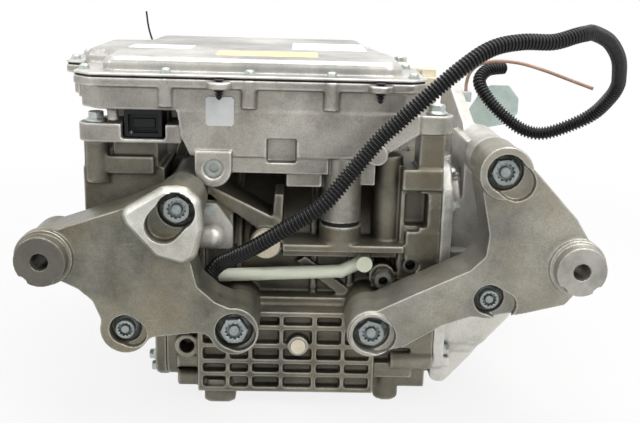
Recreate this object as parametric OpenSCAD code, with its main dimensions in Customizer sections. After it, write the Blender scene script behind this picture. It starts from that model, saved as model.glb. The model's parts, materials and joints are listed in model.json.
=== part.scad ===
// Electric axle drive unit: motor barrel with its axis along X, gear case on the right,
// end shield on the left, flat inverter on top, two cast mounting brackets on the front.
// Millimetres. X to the right, Y away from the viewer, Z up, floor at Z = 0.

/* [Brackets] */
// distance between the two mounting bores
boss_spacing = 516; // [510:1:522]
// outer diameter of each mounting boss
boss_d = 49; // [46:1:52]
// mounting bore diameter
bore_d = 16.5; // [14:0.5:20]
// thickness of a bracket casting, front to back
bracket_t = 56; // [52:1:60]
// how far a mounting boss stands out of the bracket face
boss_out = 18; // [14:1:20]
// shank diameter of the bracket bolts
bracket_bolt_d = 16; // [14:1:17]
// flange diameter of the bracket bolts
bracket_flange_d = 33; // [30:1:35]

/* [Motor] */
// outer diameter of the stator
stator_d = 200; // [194:1:204]
// bore of the stator
stator_bore_d = 131; // [126:1:136]
// length of the lamination stack
stack_l = 150; // [130:1:160]
// number of stator slots
slots = 48; // [36:6:60]
// air gap between rotor and stator
air_gap = 0.8; // [0.6:0.1:1.2]
// rotor shaft diameter
shaft_d = 42; // [38:1:46]
// wall of the motor barrel
barrel_wall = 12; // [10:0.5:13]

/* [Gears] */
// module of the first gear stage
module_1 = 2; // [1.9:0.05:2.05]
// module of the second gear stage
module_2 = 2.5; // [2.4:0.05:2.55]
// teeth on the rotor pinion
teeth_1 = 21; // [20:1:22]
// teeth on the layshaft wheel
teeth_2 = 59; // [57:1:60]
// teeth on the layshaft pinion
teeth_3 = 19; // [18:1:20]
// teeth on the ring gear
teeth_4 = 61; // [60:1:63]
// backlash taken off each tooth
backlash = 0.35; // [0.25:0.05:0.5]

/* [Outputs] */
// output flange diameter
flange_d = 100; // [94:1:106]
// pitch circle of the output flange holes
flange_pcd = 80; // [74:1:84]
// output flange hole diameter
flange_hole_d = 10.5; // [8.5:0.5:11]
// output shaft diameter
output_d = 30; // [26:1:33]

/* [Inverter] */
// thickness of the inverter walls
tray_wall = 5; // [4:0.5:6]
// thickness of the lid sheet
lid_t = 3; // [2.5:0.5:4]
// height of the lid dome above its flange
dome_h = 15; // [12:1:18]
// thickness of the lid gasket
gasket_t = 1.6; // [1.2:0.1:2]
// head diameter of the lid screws
lid_head_d = 10; // [9:0.5:11]
// height of a lid screw head
lid_head_h = 5; // [3:0.5:6]

/* [Pipes] */
// coolant stub outer diameter
stub_d = 42; // [39:1:43]
// coolant elbow outer diameter
elbow_d = 34; // [30:1:36]
// oil pipe outer diameter
pipe_d = 14; // [12:0.5:15]
// conduit outer diameter
conduit_d = 16.5; // [15:0.5:17]

/* [Fits] */
// radial clearance of a running fit
run = 0.06; // [0.04:0.01:0.08]
// gap between parts that turn past each other
clear = 0.6; // [0.5:0.1:1]
// clearance of a bolt in its plain hole
bolt_clear = 1; // [0.6:0.1:1.4]

/* [Hidden] */
$fn = 48;

// brackets: planes and hole places (X, Z)
bracket_back = -156;
bracket_face = bracket_back - bracket_t;
boss_face = bracket_face - boss_out;
seat_y = bracket_face + 13;
pad_up = 8;
boss_z = 184;
left_boss = [-boss_spacing / 2, boss_z];
right_boss = [boss_spacing / 2, boss_z];
left_holes = [[-131, 233], [-183, 110], [-76, 110]];
right_holes = [[181, 276], [60, 110], [175, 148]];
barrel_pads = [left_holes[0], left_holes[2], right_holes[1]];
// bolt size at each hole, as a share of the large bolts
left_share = [1, 0.8, 1];
right_share = [1, 1, 0.8];
// lower end of the long recess beside each bolt, from the hole
left_recess = [[-12, -14], [7, -4], [4, -3]];
right_recess = [[12, -10], [7, -3], [13, -6]];
boss_notches = [228, 312];
bolt_grip = 24;
lobe_r = bracket_flange_d / 2 + 8;

// motor axis and barrel
motor_y = 0;
motor_z = 141;
barrel_in = stator_d / 2;
barrel_out = barrel_in + barrel_wall;
barrel_x0 = -154;
stack_x = -22;
rotor_r = stator_bore_d / 2 - air_gap;
shaft_r = shaft_d / 2;

// gear axes (Y, Z): the layshaft sits where both centre distances meet
diff_y = 135;
diff_z = 108;
dist_1 = module_1 * (teeth_1 + teeth_2) / 2;
dist_2 = module_2 * (teeth_3 + teeth_4) / 2;
dist_0 = sqrt(pow(diff_y - motor_y, 2) + pow(diff_z - motor_z, 2));
along = (dist_1 * dist_1 - dist_2 * dist_2 + dist_0 * dist_0) / (2 * dist_0);
off = sqrt(dist_1 * dist_1 - along * along);
dir = [(diff_y - motor_y) / dist_0, (diff_z - motor_z) / dist_0];
lay_y = motor_y + along * dir[0] - off * dir[1];
lay_z = motor_z + along * dir[1] + off * dir[0];
angle_1 = atan2(lay_z - motor_z, lay_y - motor_y);
angle_2 = atan2(diff_z - lay_z, diff_y - lay_y);

// stations along X
wall_x0 = 104;
wall_x1 = 118;
split_x = 134;
case_x1 = 232;
diff_wall_x = 212;
wheel_x = [129, 149];
pinion3_x = [158, 198];
ring_x = [163, 193];
case_wall_x = 206;
rim_x = 178;
case_boss_r = 10.5;
post_y = 128;
left_flange_x = -186;

// bearings: [inner radius, outer radius, width]
rotor_brg = [shaft_r, shaft_r + 17, 14];
lay_brg = [15, 31, 14];
diff_brg = [27, 43, 14];
shield_brg_x = -176;

// inverter levels
tray_z = 318;
deep_z = 273;
flange_z0 = 341;
flange_z1 = 350;
gasket_z = flange_z1;
lid_z = flange_z1 + gasket_t;
front_y = -150;

// places of the lid screws (X, Y)
lid_holes = [[-234, -119], [-149, -140], [-66, -141], [16, -142], [99, -133], [101, -40], [80, 60],
    [74, 180], [-20, 184], [-110, 184], [-214, 180], [-236, 96], [-266, 40], [-266, -20]];

// ears that carry the inverter: [X, Y, underside]
ears = [[-222, -128, 284], [125, -128, 299], [-166, 118, 284], [121, 190, 318]];
ear_bolt_r = 5;
clip_x = [-95, 64];
clip_y = -157;
ear_t = 19;

// places on the front (X, Z)
elbow_at = [-103, 186];
oil_a = [-98, 140];
oil_b = [32, 147];
oil_c = [56, 159];
pipe_y = -barrel_out - 17;
stub_at = [30, -barrel_out - 13];
nipple = [76, 143];
gland_at = [-112, 128];

// cord routes, in order along each cord
conduit_route = [[-112, -132, 128], [-112, -139, 128], [-110, -145, 137], [-104, -147, 149],
    [-95, -151, 160], [-80, -162, 171], [-58, -174, 186], [-28, -183, 208], [8, -188, 234],
    [34, -189, 266], [62, -188, 301], [80, -186, 318], [102, -182, 338], [140, -172, 370],
    [170, -160, 388], [202, -148, 394], [236, -136, 394], [262, -124, 400], [275, -115, 402],
    [286, -104, 402], [312, -78, 392], [334, -50, 372], [347, -22, 348], [350, -11, 337],
    [348, 0, 324], [338, 20, 302], [318, 32, 286], [286, 42, 272], [262, 50, 274], [240, 60, 288],
    [220, 72, 308], [210, 86, 328], [222, 100, 341], [246, 110, 344]];
earth_route = [[184, 34, 322], [184, 34, 332], [187, 30, 345], [196, 24, 355], [214, 18, 360],
    [240, 10, 359], [268, 2, 352], [298, -6, 342], [322, -12, 334]];
sensor_route = [[-206, 200, 329], [-206, 206, 329], [-207, 211, 334], [-212, 212, 346],
    [-219, 212, 362], [-223, 211, 378], [-225, 209, 398]];

cast_grey = [0.60, 0.59, 0.55];
dark_cast = [0.45, 0.44, 0.40];
pale_cast = [0.80, 0.79, 0.76];
zinc = [0.62, 0.65, 0.63];
steel = [0.55, 0.56, 0.58];
black = [0.11, 0.11, 0.12];
cream = [0.90, 0.86, 0.77];
copper = [0.72, 0.45, 0.25];

// basic solids given by their limits
module box(x0, x1, y0, y1, z0, z1) {
    translate([x0, y0, z0])
        cube([x1 - x0, y1 - y0, z1 - z0]);
}

module xcyl(r, x0, x1, y, z) {
    translate([x0, y, z])
        rotate([0, 90, 0])
            cylinder(r = r, h = x1 - x0);
}

module ycyl(r, y0, y1, x, z) {
    translate([x, y1, z])
        rotate([90, 0, 0])
            cylinder(r = r, h = y1 - y0);
}

module zcyl(r, z0, z1, x, y) {
    translate([x, y, z0])
        cylinder(r = r, h = z1 - z0);
}

// flat outlines raised along Y (drawn in X, Z), along X (drawn in Y, Z)
module along_y(y0, y1) {
    translate([0, y1, 0])
        rotate([90, 0, 0])
            linear_extrude(y1 - y0)
                children();
}

module along_x(x0, x1) {
    translate([x0, 0, 0])
        rotate([90, 0, 90])
            linear_extrude(x1 - x0)
                children();
}

module xring(r0, r1, x0, x1, y, z) {
    difference() {
        xcyl(r1, x0, x1, y, z);
        xcyl(r0, x0 - 1, x1 + 1, y, z);
    }
}

// corner rounding: arc points at a corner of a closed outline
function unit(v) = v / norm(v);
function corner(a, b, c, r, n) =
    let (u = unit(a - b), v = unit(c - b), half = acos(min(1, max(-1, u * v))) / 2)
    let (want = r / tan(half), d = min(want, 0.49 * norm(a - b), 0.49 * norm(c - b)))
    let (rr = d * tan(half), m = b + unit(u + v) * rr / sin(half))
    let (p = b + u * d, q = b + v * d, a0 = atan2(p[1] - m[1], p[0] - m[0]))
    let (turn = atan2(q[1] - m[1], q[0] - m[0]) - a0)
    let (sweep = turn > 180 ? turn - 360 : turn < -180 ? turn + 360 : turn)
    [for (i = [0 : n]) m + rr * [cos(a0 + sweep * i / n), sin(a0 + sweep * i / n)]];
function rounded(pts, r, n = 4) =
    [for (i = [0 : len(pts) - 1])
        each corner(pts[(i + len(pts) - 1) % len(pts)], pts[i], pts[(i + 1) % len(pts)], r, n)];

// involute tooth outline, one tooth centred on angle 0
function inv(a) = tan(a) * 180 / PI - a;
function half_angle(r, z, m) =
    let (rp = m * z / 2, rb = rp * cos(20))
    (PI * m / 2 - backlash) / (2 * rp) * 180 / PI + inv(20) - inv(acos(min(1, rb / max(r, rb))));
function gear_points(z, m) =
    let (rp = m * z / 2, ra = rp + 0.95 * m, rf = rp - 1.25 * m)
    let (rs = [rf, max(rf + 0.3 * m, rp * cos(20)), rp - 0.35 * m, rp, rp + 0.5 * m, ra])
    [for (t = [0 : z - 1])
        each concat(
            [for (k = [0 : 5]) let (a = t * 360 / z - half_angle(rs[k], z, m)) rs[k] * [cos(a), sin(a)]],
            [for (k = [5 : -1 : 0])
                let (a = t * 360 / z + half_angle(rs[k], z, m)) rs[k] * [cos(a), sin(a)]])];

module gear(z, m, x0, x1, y, z0, phase) {
    translate([0, y, z0])
        along_x(x0, x1)
            rotate(phase)
                polygon(gear_points(z, m));
}

// a tube along route points
function route_dir(pts, i) = unit(pts[min(i + 1, len(pts) - 1)] - pts[max(i - 1, 0)]);
function ring_points(pts, i, r, sides, side) =
    let (t = route_dir(pts, i), s = unit(cross(t, side)), u = cross(s, t))
    [for (k = [0 : sides - 1]) pts[i] + r * (s * cos(360 * k / sides) + u * sin(360 * k / sides))];
module tube(pts, d, sides, side) {
    n = len(pts);
    points = [for (i = [0 : n - 1]) each ring_points(pts, i, d / 2 / cos(180 / sides), sides, side)];
    walls = [for (i = [0 : n - 2]) for (k = [0 : sides - 1])
        [i * sides + k, i * sides + (k + 1) % sides, (i + 1) * sides + (k + 1) % sides, (i + 1) * sides + k]];
    first = [for (k = [sides - 1 : -1 : 0]) k];
    last = [for (k = [0 : sides - 1]) (n - 1) * sides + k];
    polyhedron(points, concat([first], walls, [last]), convexity = 8);
}

// flange bolt standing along Y with its head towards the viewer
module bolt_y(x, y, z, shank_r, flange_r, hex_r, hex_h, length) {
    difference() {
        union() {
            ycyl(flange_r, y - 3.5, y, x, z);
            translate([x, y - 3.5, z])
                rotate([90, 0, 0])
                    cylinder(r = hex_r, h = hex_h, $fn = 6);
            ycyl(shank_r, y - 1, y + length, x, z);
        }
        translate([x, y - 3.5 - hex_h + 6, z])
            rotate([90, 0, 0])
                cylinder(r = hex_r * 0.56, h = 10, $fn = 12);
    }
}

module bolt_z(x, y, z, shank_r, flange_r, hex_r, hex_h, length) {
    zcyl(flange_r, z, z + 3, x, y);
    translate([x, y, z + 3])
        cylinder(r = hex_r, h = hex_h, $fn = 6);
    zcyl(shank_r, z - length, z, x, y);
}

module bolt_x(x, y, z, shank_r, flange_r, hex_r, hex_h, length, way) {
    translate([x, y, z])
        rotate([0, way > 0 ? 90 : -90, 0]) {
            cylinder(r = flange_r, h = 2.5);
            translate([0, 0, 2.5])
                cylinder(r = hex_r, h = hex_h, $fn = 6);
            translate([0, 0, -length])
                cylinder(r = shank_r, h = length);
        }
}

// outline of the gear case joint (Y, Z)
case_outline = [[-142, 44], [-142, 236], [-112, 262], [150, 262], [224, 176], [230.4, 84], [196, 18],
    [-100, 18]];
case_holes = [[-132, 60], [-132, 148], [-132, 222], [-96, 250], [-10, 253], [70, 253], [148, 249], [197, 196],
    [219, 112], [200, 40], [120, 27], [20, 27], [-92, 28]];
shield_outline = [[-138, 30], [-138, 100], [-116, 215], [-60, 252], [60, 252], [122, 205], [164, 150],
    [168, 84], [120, 60], [70, 18], [-110, 18]];
shield_holes = [[-126, 47], [-112, 27], [-117, 148], [-108, 184], [92, 222], [118, 190], [66, 36], [-20, 27]];

// outline of the inverter rim (X, Y)
rim_outline = [[-222, -152], [-243, -132], [-243, -50], [-274, -36], [-274, 92], [-246, 112], [-226, 128],
    [-226, 196], [86, 196], [92, 80], [112, -40], [112, -138], [98, -152]];
dome_outline = [[-216, -131], [-216, -64], [-250, -56], [-250, 82], [-204, 90], [-202, 168], [-192, 176],
    [64, 176], [69, 80], [90, -50], [90, -116], [78, -131]];
dome_r = 10;
dome_steps = 5;

// motor housing casting
module barrel_bolt_pads() {
    for (p = barrel_pads)
        ycyl(lobe_r - 3, bracket_back, p[1] > 200 ? -60 : -96, p[0], p[1]);
}

module rib_panel() {
    px = [-116, -87, -63, -30, 5, 36, 67];
    pz = [18, 35, 50, 68, 89, 104];
    columns = len(px) - 1;
    rows = len(pz) - 1;
    difference() {
        box(px[0] - 3, px[columns] + 3, front_y, -96, pz[0] - 3, pz[rows] + 3);
        for (i = [0 : columns - 1])
            for (k = [0 : rows - 1])
                box(px[i] + 2.5, px[i + 1] - 2.5, front_y - 1, front_y + 11 - (i % 2) * 2,
                    pz[k] + 2.5, pz[k + 1] - 2.5);
    }
    // plain wall and block to the right of the ribs
    box(px[columns], split_x - 6, front_y + 18, -96, pz[0] - 3, pz[rows] + 3);
    box(split_x - 34, split_x - 6, front_y + 9, -96, pz[2] + 14, pz[4] - 4);
    box(px[columns], split_x - 6, front_y + 7, -96, pz[rows] - 4, pz[rows] + 3);
    ycyl(11, front_y - 2, front_y + 20, -12, 69);
}

module barrel_shape() {
    xcyl(barrel_out, barrel_x0, wall_x1, motor_y, motor_z);
    xcyl(barrel_out + 9, barrel_x0, barrel_x0 + 13, motor_y, motor_z);
    xcyl(diff_brg[1] + 8, wall_x0 - 4, wall_x1, diff_y, diff_z);
    xcyl(lay_brg[1] + 8, wall_x0 - 4, wall_x1, lay_y, lay_z);
    for (x = [-120, -80, 0, 40, 80])
        xcyl(barrel_out + 5, x, x + 6, motor_y, motor_z);
    along_x(wall_x1 - 6, split_x)
        polygon(rounded(case_outline, 26));
    along_x(barrel_x0, barrel_x0 + 12)
        polygon(rounded(shield_outline, 18));
}

module front_casting() {
    rib_panel();
    // deck that joins the ribbed panel to the barrel
    box(-152, split_x, -128, -60, 96, 116);
    // bosses at the lower left corner
    xcyl(10, -142, -112, -135, 47);
    xcyl(9, -142, -112, -133, 24);
    box(-142, -112, -126, -96, 15, 66);
    ycyl(13, -146, -90, -131, 65);
    // feet
    linear_extrude(26)
        polygon(rounded([[-113, -146], [-79, -146], [-79, -86], [-113, -86]], 9));
    zcyl(14, 0, 40, 86, -122);
    box(64, 112, -144, -100, 31, 48);
    xcyl(9, 88, split_x, -140, 50);
    zcyl(18, 0, 84, -104, 84);
    // upper shelf with its lip and collar
    box(-30, 96, -147, -70, 173, 181);
    box(-30, 96, -126, -70, 162, 175);
    zcyl(stub_d / 2 + 1, 173, 200, stub_at[0], stub_at[1]);
    zcyl(14.5, 176, deep_z, 80, -116);
    box(66, 95, -116, -60, 176, deep_z - 12);
    // box section on the right
    box(92, split_x, -134, -40, 140, 262);
    box(92, split_x, -142, -90, 240, 262);
    box(98, split_x, -143, -90, 164, 196);
    ycyl(15, -142, -90, 112, 172);
    // joint flange bosses
    for (h = case_holes)
        xcyl(case_boss_r, split_x - 24, split_x, h[0], h[1]);
    // diagonal rib and short webs
    along_y(-130, -70)
        polygon([[-118, 236], [-108, 239], [-34, 202], [-34, 186], [-46, 184]]);
    along_y(-128, -80)
        polygon([[-42, 190], [-32, 190], [-30, 230], [-40, 230]]);
    along_y(pipe_y + pipe_d / 2 + 2, -80)
        polygon([[-16, 154], [-6, 160], [54, 114], [44, 106]]);
    // pads for pad plugs, pipe socket and sensor seat
    ycyl(17, -136, -80, -48, 178);
    ycyl(14, -132, -80, nipple[0], nipple[1]);
    ycyl(15, -132, -80, 105, 158);
    ycyl(pipe_d / 2 + 5, pipe_y + 9, -80, oil_c[0], oil_c[1]);
    // seat for the elbow flange
    box(elbow_at[0] - 20, elbow_at[0] + 20, -128, -70, 170, 222);
    // seat for the conduit gland
    ycyl(12, -126, -80, gland_at[0], gland_at[1]);
    // upright posts for the right front and right rear ears
    zcyl(13, 240, ears[1][2], split_x - 13, ears[1][1] + 2);
    box(108, split_x, ears[1][1] - 11, -100, 256, ears[1][2]);
    zcyl(12, 170, ears[3][2], ears[3][0] - 1, ears[3][1]);
}

module motor_housing() {
    color(dark_cast)
    difference() {
        union() {
            barrel_shape();
            front_casting();
            barrel_bolt_pads();
        }
        xcyl(barrel_in, barrel_x0 - 1, wall_x0, motor_y, motor_z);
        xcyl(rotor_brg[1], wall_x0 - 1, wall_x1 - 2, motor_y, motor_z);
        xcyl(rotor_brg[1] - 4, wall_x0, split_x + 1, motor_y, motor_z);
        // room for the gears behind the joint face
        xcyl(module_1 * teeth_1 / 2 + 8, wall_x1, split_x + 1, motor_y, motor_z);
        xcyl(lay_brg[1], wall_x1 - lay_brg[2], split_x + 1, lay_y, lay_z);
        xcyl(module_1 * teeth_2 / 2 + 6, wall_x1 + 3, split_x + 1, lay_y, lay_z);
        xcyl(diff_brg[1], wall_x1 - lay_brg[2], split_x + 1, diff_y, diff_z);
        xcyl(output_d / 2 + 8, 60, split_x + 1, diff_y, diff_z);
        xcyl(output_d / 2 + 6, barrel_x0 - 1, barrel_x0 + 20, diff_y, diff_z);
        for (p = barrel_pads)
            ycyl(bracket_bolt_d / 2, bracket_back - 1, bracket_back + bolt_grip, p[0], p[1]);
        for (h = case_holes)
            xcyl(3, split_x - 12, split_x + 1, h[0], h[1]);
        for (h = shield_holes)
            xcyl(3, barrel_x0 - 1, barrel_x0 + 14, h[0], h[1]);
        // through the collar into the jacket, and the pipe and sensor sockets
        zcyl(stub_d / 2 - 6, 178, 201, stub_at[0], stub_at[1]);
        ycyl(pipe_d / 2 + 1.5, pipe_y - 8, pipe_y + 17, oil_c[0], oil_c[1]);
        ycyl(6, -133, -112, nipple[0], nipple[1]);
        ycyl(8, -143, -116, 105, 158);
        // framed recess in the box section
        box(97, split_x - 14, -150, -119, 200, 236);
        ycyl(elbow_d / 2 - 7, -129, -100, elbow_at[0], elbow_at[1]);
        ycyl(2.5, -129, -114, elbow_at[0] - 4, elbow_at[1] + 27);
        ycyl(8, -147, -120, -131, 65);
        ycyl(8, front_y - 3, front_y + 8, -12, 69);
        ycyl(15, -137, -131, -48, 178);
        ycyl(8, -131, -114, gland_at[0], gland_at[1]);
        zcyl(ear_bolt_r, ears[1][2] - 22, ears[1][2] + 1, ears[1][0], ears[1][1]);
        zcyl(ear_bolt_r, ears[3][2] - 22, ears[3][2] + 1, ears[3][0], ears[3][1]);
    }
}

module left_end_shield() {
    color(cast_grey)
    difference() {
        union() {
            along_x(barrel_x0 - 12, barrel_x0)
                polygon(rounded(shield_outline, 18));
            translate([barrel_x0 - 12, motor_y, motor_z])
                rotate([0, -90, 0])
                    cylinder(r1 = 104, r2 = 62, h = 22);
            for (a = [0 : 45 : 315])
                translate([barrel_x0 - 34, motor_y, motor_z])
                    rotate([a, 0, 0])
                        box(0, 24, -3, 3, 30, 100);
            // terminal box that carries the left end of the inverter
            box(-238, barrel_x0, -126, 70, 200, 256);
            box(-212, -164, -134, -60, 250, 268);
            box(-206, -160, -128, -60, 256, 284);
            zcyl(12, 240, ears[0][2], ears[0][0], ears[0][1] + 2);
            box(-238, -226, -120, 70, 217, 284);
            zcyl(11, 190, ears[2][2], ears[2][0], ears[2][1]);
            // pad behind the lower left bracket bolt
            ycyl(lobe_r - 4, bracket_back, -90, left_holes[1][0], left_holes[1][1]);
            box(left_holes[1][0] - 14, barrel_x0, -134, -92, 88, 132);
            // bearing lug of the left output shaft
            xcyl(output_d / 2 + 20, left_flange_x + 6, barrel_x0, diff_y, diff_z);
            // bosses at the lower left corner
            xcyl(10, barrel_x0 - 12, barrel_x0, -126, 47);
            xcyl(9, barrel_x0 - 12, barrel_x0, -112, 27);
        }
        xcyl(rotor_brg[1], shield_brg_x, barrel_x0 + 1, motor_y, motor_z);
        xcyl(shaft_r + 6, -183, barrel_x0, motor_y, motor_z);
        xcyl(output_d / 2 + 10, left_flange_x, barrel_x0 + 1, diff_y, diff_z);
        for (h = shield_holes)
            xcyl(3 + bolt_clear / 2, -240, barrel_x0 + 1, h[0], h[1]);
        for (h = shield_holes)
            xcyl(8, -190, barrel_x0 - 12, h[0], h[1]);
        // room inside the terminal box
        box(-226, -172, -110, 60, 226, 250);
        zcyl(ear_bolt_r, ears[0][2] - 22, ears[0][2] + 1, ears[0][0], ears[0][1]);
        zcyl(ear_bolt_r, ears[2][2] - 22, ears[2][2] + 1, ears[2][0], ears[2][1]);
        ycyl(left_share[1] * bracket_bolt_d / 2, bracket_back - 1, bracket_back + bolt_grip, left_holes[1][0],
            left_holes[1][1]);
    }
}

module gear_case() {
    color(pale_cast)
    difference() {
        union() {
            along_x(split_x, split_x + 12)
                polygon(rounded(case_outline, 26));
            along_x(split_x + 10, split_x + 46)
                polygon(rounded([for (p = case_outline) [p[0] * 0.9 + 4, (p[1] - 140) * 0.9 + 138]], 30));
            xcyl(module_2 * teeth_4 / 2 + 16, split_x, case_wall_x + 12, diff_y, diff_z);
            xcyl(module_1 * teeth_2 / 2 + 12, split_x, 172, lay_y, lay_z);
            xcyl(module_2 * teeth_3 / 2 + 14, split_x, case_wall_x + 12, lay_y, lay_z);
            xcyl(diff_brg[1] + 8, case_wall_x, case_x1, diff_y, diff_z);
            xcyl(body_r + 14, case_wall_x - 10, diff_wall_x + 8, diff_y, diff_z);
            translate([split_x + 10, motor_y, motor_z])
                rotate([0, 90, 0])
                    cylinder(r1 = 100, r2 = 60, h = 54);
            // stiffening webs and the rim that rises behind the right bracket
            along_x(164, rim_x)
                polygon(rounded([[-120, 120], [-120, 262], [-60, 300], [60, 336], [94, 320], [116, 216],
                    [110, 120]], 12));
            // sloping lower front corner
            along_y(-127, -20)
                polygon(rounded([[split_x, 20], [split_x, 172], [204, 172], [223, 112], [217, 96],
                    [150, 18]], 9));
            along_y(-8, 8)
                polygon([[split_x, 60], [split_x, 250], [170, 250], [214, 150], [186, 60]]);
            // pads behind the right bracket
            ycyl(lobe_r - 2, bracket_back, -60, right_holes[0][0], right_holes[0][1]);
            ycyl(lobe_r - 4, bracket_back, -60, right_holes[2][0], right_holes[2][1]);
            box(158, 200, -120, -40, 140, 290);
            box(split_x, 182, -100, -40, 120, 180);
            // rear foot and post for the connector seat
            zcyl(18, 0, 60, 153, 110);
            box(split_x + 4, 180, 92, post_y, 240, 282);
            // lower front boss and joint flange bosses
            xcyl(9, split_x, split_x + 20, -130, 48);
            for (h = case_holes)
                xcyl(case_boss_r, split_x, split_x + 12, h[0], h[1]);
        }
        // gear room
        xcyl(module_1 * teeth_1 / 2 + 8, split_x - 1, 156, motor_y, motor_z);
        xcyl(module_1 * teeth_2 / 2 + 6, split_x - 1, 154, lay_y, lay_z);
        xcyl(module_2 * teeth_3 / 2 + 7, split_x - 1, case_wall_x, lay_y, lay_z);
        xcyl(lay_brg[1], case_wall_x - 8, case_wall_x + lay_brg[2] - 8, lay_y, lay_z);
        xcyl(module_2 * teeth_4 / 2 + 8, split_x - 1, case_wall_x - 6, diff_y, diff_z);
        xcyl(body_r + 4, split_x - 1, diff_wall_x - 1, diff_y, diff_z);
        xcyl(diff_brg[1], diff_wall_x - 2, diff_wall_x + diff_brg[2], diff_y, diff_z);
        xcyl(output_d / 2 + 10, diff_wall_x, case_x1 + 1, diff_y, diff_z);
        for (h = case_holes)
            xcyl(3 + bolt_clear / 2, split_x - 1, case_x1, h[0], h[1]);
        for (h = case_holes)
            xcyl(8, split_x + 12, case_x1, h[0], h[1]);
        for (i = [0, 2])
            ycyl(right_share[i] * bracket_bolt_d / 2, bracket_back - 1, bracket_back + bolt_grip,
                right_holes[i][0], right_holes[i][1]);
        zcyl(6, -1, 14, 153, 110);
        zcyl(2.5, 270, 283, 172, 110);
        zcyl(2.5, 270, 283, 140, 110);
        ycyl(3, -4, 20, 214, 170);
    }
}

module end_shield_bolts() {
    color(zinc)
    for (h = shield_holes)
        bolt_x(barrel_x0 - 12, h[0], h[1], 3, 7, 5.6, 5, 24, -1);
}

module gear_case_bolts() {
    color(zinc)
    for (h = case_holes)
        bolt_x(split_x + 12, h[0], h[1], 3, 7, 5.6, 5, 23, 1);
}

// motor inside
module stator_core() {
    tooth_r = stator_bore_d / 2;
    slot_w = PI * tooth_r * 2 / slots * 0.46;
    color(steel)
    along_x(stack_x - stack_l / 2, stack_x + stack_l / 2)
        difference() {
            circle(r = barrel_in);
            circle(r = tooth_r);
            for (a = [0 : slots - 1])
                rotate(a * 360 / slots)
                    translate([tooth_r - 1, -slot_w / 2])
                        square([21, slot_w]);
        }
}

module at_motor() {
    translate([0, motor_y, motor_z])
        children();
}

module stator_windings() {
    r0 = stator_bore_d / 2 + 2;
    color(copper) {
        xring(r0, r0 + 17, stack_x - stack_l / 2 - 24, stack_x - stack_l / 2, motor_y, motor_z);
        xring(r0, r0 + 17, stack_x + stack_l / 2, stack_x + stack_l / 2 + 24, motor_y, motor_z);
    }
}

module rotor_core() {
    color(steel)
    difference() {
        xcyl(rotor_r, stack_x - stack_l / 2, stack_x + stack_l / 2, motor_y, motor_z);
        xcyl(shaft_r + 6, stack_x - stack_l / 2 - 1, stack_x + stack_l / 2 + 1, motor_y, motor_z);
        for (a = [0 : 45 : 315])
            translate([0, motor_y, motor_z])
                rotate([a, 0, 0])
                    xcyl(6, stack_x - stack_l / 2 - 1, stack_x + stack_l / 2 + 1, 0, rotor_r - 18);
    }
}

module rotor_shaft() {
    color(steel)
    difference() {
        union() {
            xcyl(shaft_r, -181, 118, motor_y, motor_z);
            xcyl(shaft_r + 6, stack_x - stack_l / 2 - 6, stack_x + stack_l / 2, motor_y, motor_z);
            xcyl(module_1 * teeth_1 / 2 - 6, 117, 151, motor_y, motor_z);
        }
        xcyl(8, 60, 152, motor_y, motor_z);
    }
}

module input_pinion() {
    color(steel)
    difference() {
        gear(teeth_1, module_1, wheel_x[0] - 1, wheel_x[1] + 1, motor_y, motor_z, angle_1);
        xcyl(module_1 * teeth_1 / 2 - 6, wheel_x[0] - 2, wheel_x[1] + 2, motor_y, motor_z);
    }
}

// a bearing in two rings, with a narrow gap between them
module inner_ring(b, x, y, z) {
    xring(b[0], (b[0] + b[1]) / 2 - clear / 2, x, x + b[2], y, z);
}

module outer_ring(b, x, y, z) {
    xring((b[0] + b[1]) / 2 + clear / 2, b[1], x, x + b[2], y, z);
}

module rotor_inner_rings() {
    color(steel) {
        inner_ring(rotor_brg, shield_brg_x, motor_y, motor_z);
        inner_ring(rotor_brg, wall_x1 - 2 - rotor_brg[2], motor_y, motor_z);
    }
}

module rotor_outer_rings() {
    color(steel) {
        outer_ring(rotor_brg, shield_brg_x, motor_y, motor_z);
        outer_ring(rotor_brg, wall_x1 - 2 - rotor_brg[2], motor_y, motor_z);
    }
}

module resolver_rotor() {
    color(steel)
    xring(shaft_r, shaft_r + 4, -158, -150, motor_y, motor_z);
}

module resolver_stator() {
    color(copper)
    xring(shaft_r + 5, rotor_brg[1], -160, -154, motor_y, motor_z);
}

// layshaft
module layshaft() {
    color(steel) {
        xcyl(lay_brg[0], wall_x1 - lay_brg[2], case_wall_x + 5, lay_y, lay_z);
        gear(teeth_3, module_2, pinion3_x[0], case_wall_x - 9, lay_y, lay_z, angle_2);
    }
}

module layshaft_wheel() {
    color(steel)
    difference() {
        gear(teeth_2, module_1, wheel_x[0], wheel_x[1], lay_y, lay_z, angle_1 + 180 + 180 / teeth_2);
        xcyl(lay_brg[0], wheel_x[0] - 1, wheel_x[1] + 1, lay_y, lay_z);
        for (a = [0 : 60 : 300])
            translate([0, lay_y, lay_z])
                rotate([a, 0, 0])
                    xcyl(8, wheel_x[0] - 1, wheel_x[1] + 1, 0, 36);
    }
}

module layshaft_inner_rings() {
    color(steel) {
        inner_ring(lay_brg, wall_x1 - lay_brg[2], lay_y, lay_z);
        inner_ring(lay_brg, case_wall_x - 8, lay_y, lay_z);
    }
}

module layshaft_outer_rings() {
    color(steel) {
        outer_ring(lay_brg, wall_x1 - lay_brg[2], lay_y, lay_z);
        outer_ring(lay_brg, case_wall_x - 8, lay_y, lay_z);
    }
}

// differential
pin_r = 8;
diff_mid = diff_wall_x - 32;
body_r = 46;
room_r = 38;
room_l = 25;
module ring_gear() {
    color(steel)
    difference() {
        gear(teeth_4, module_2, ring_x[0], ring_x[1], diff_y, diff_z, angle_2 + 180 + 180 / teeth_4);
        xcyl(body_r, ring_x[0] - 1, ring_x[1] + 1, diff_y, diff_z);
    }
}

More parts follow.
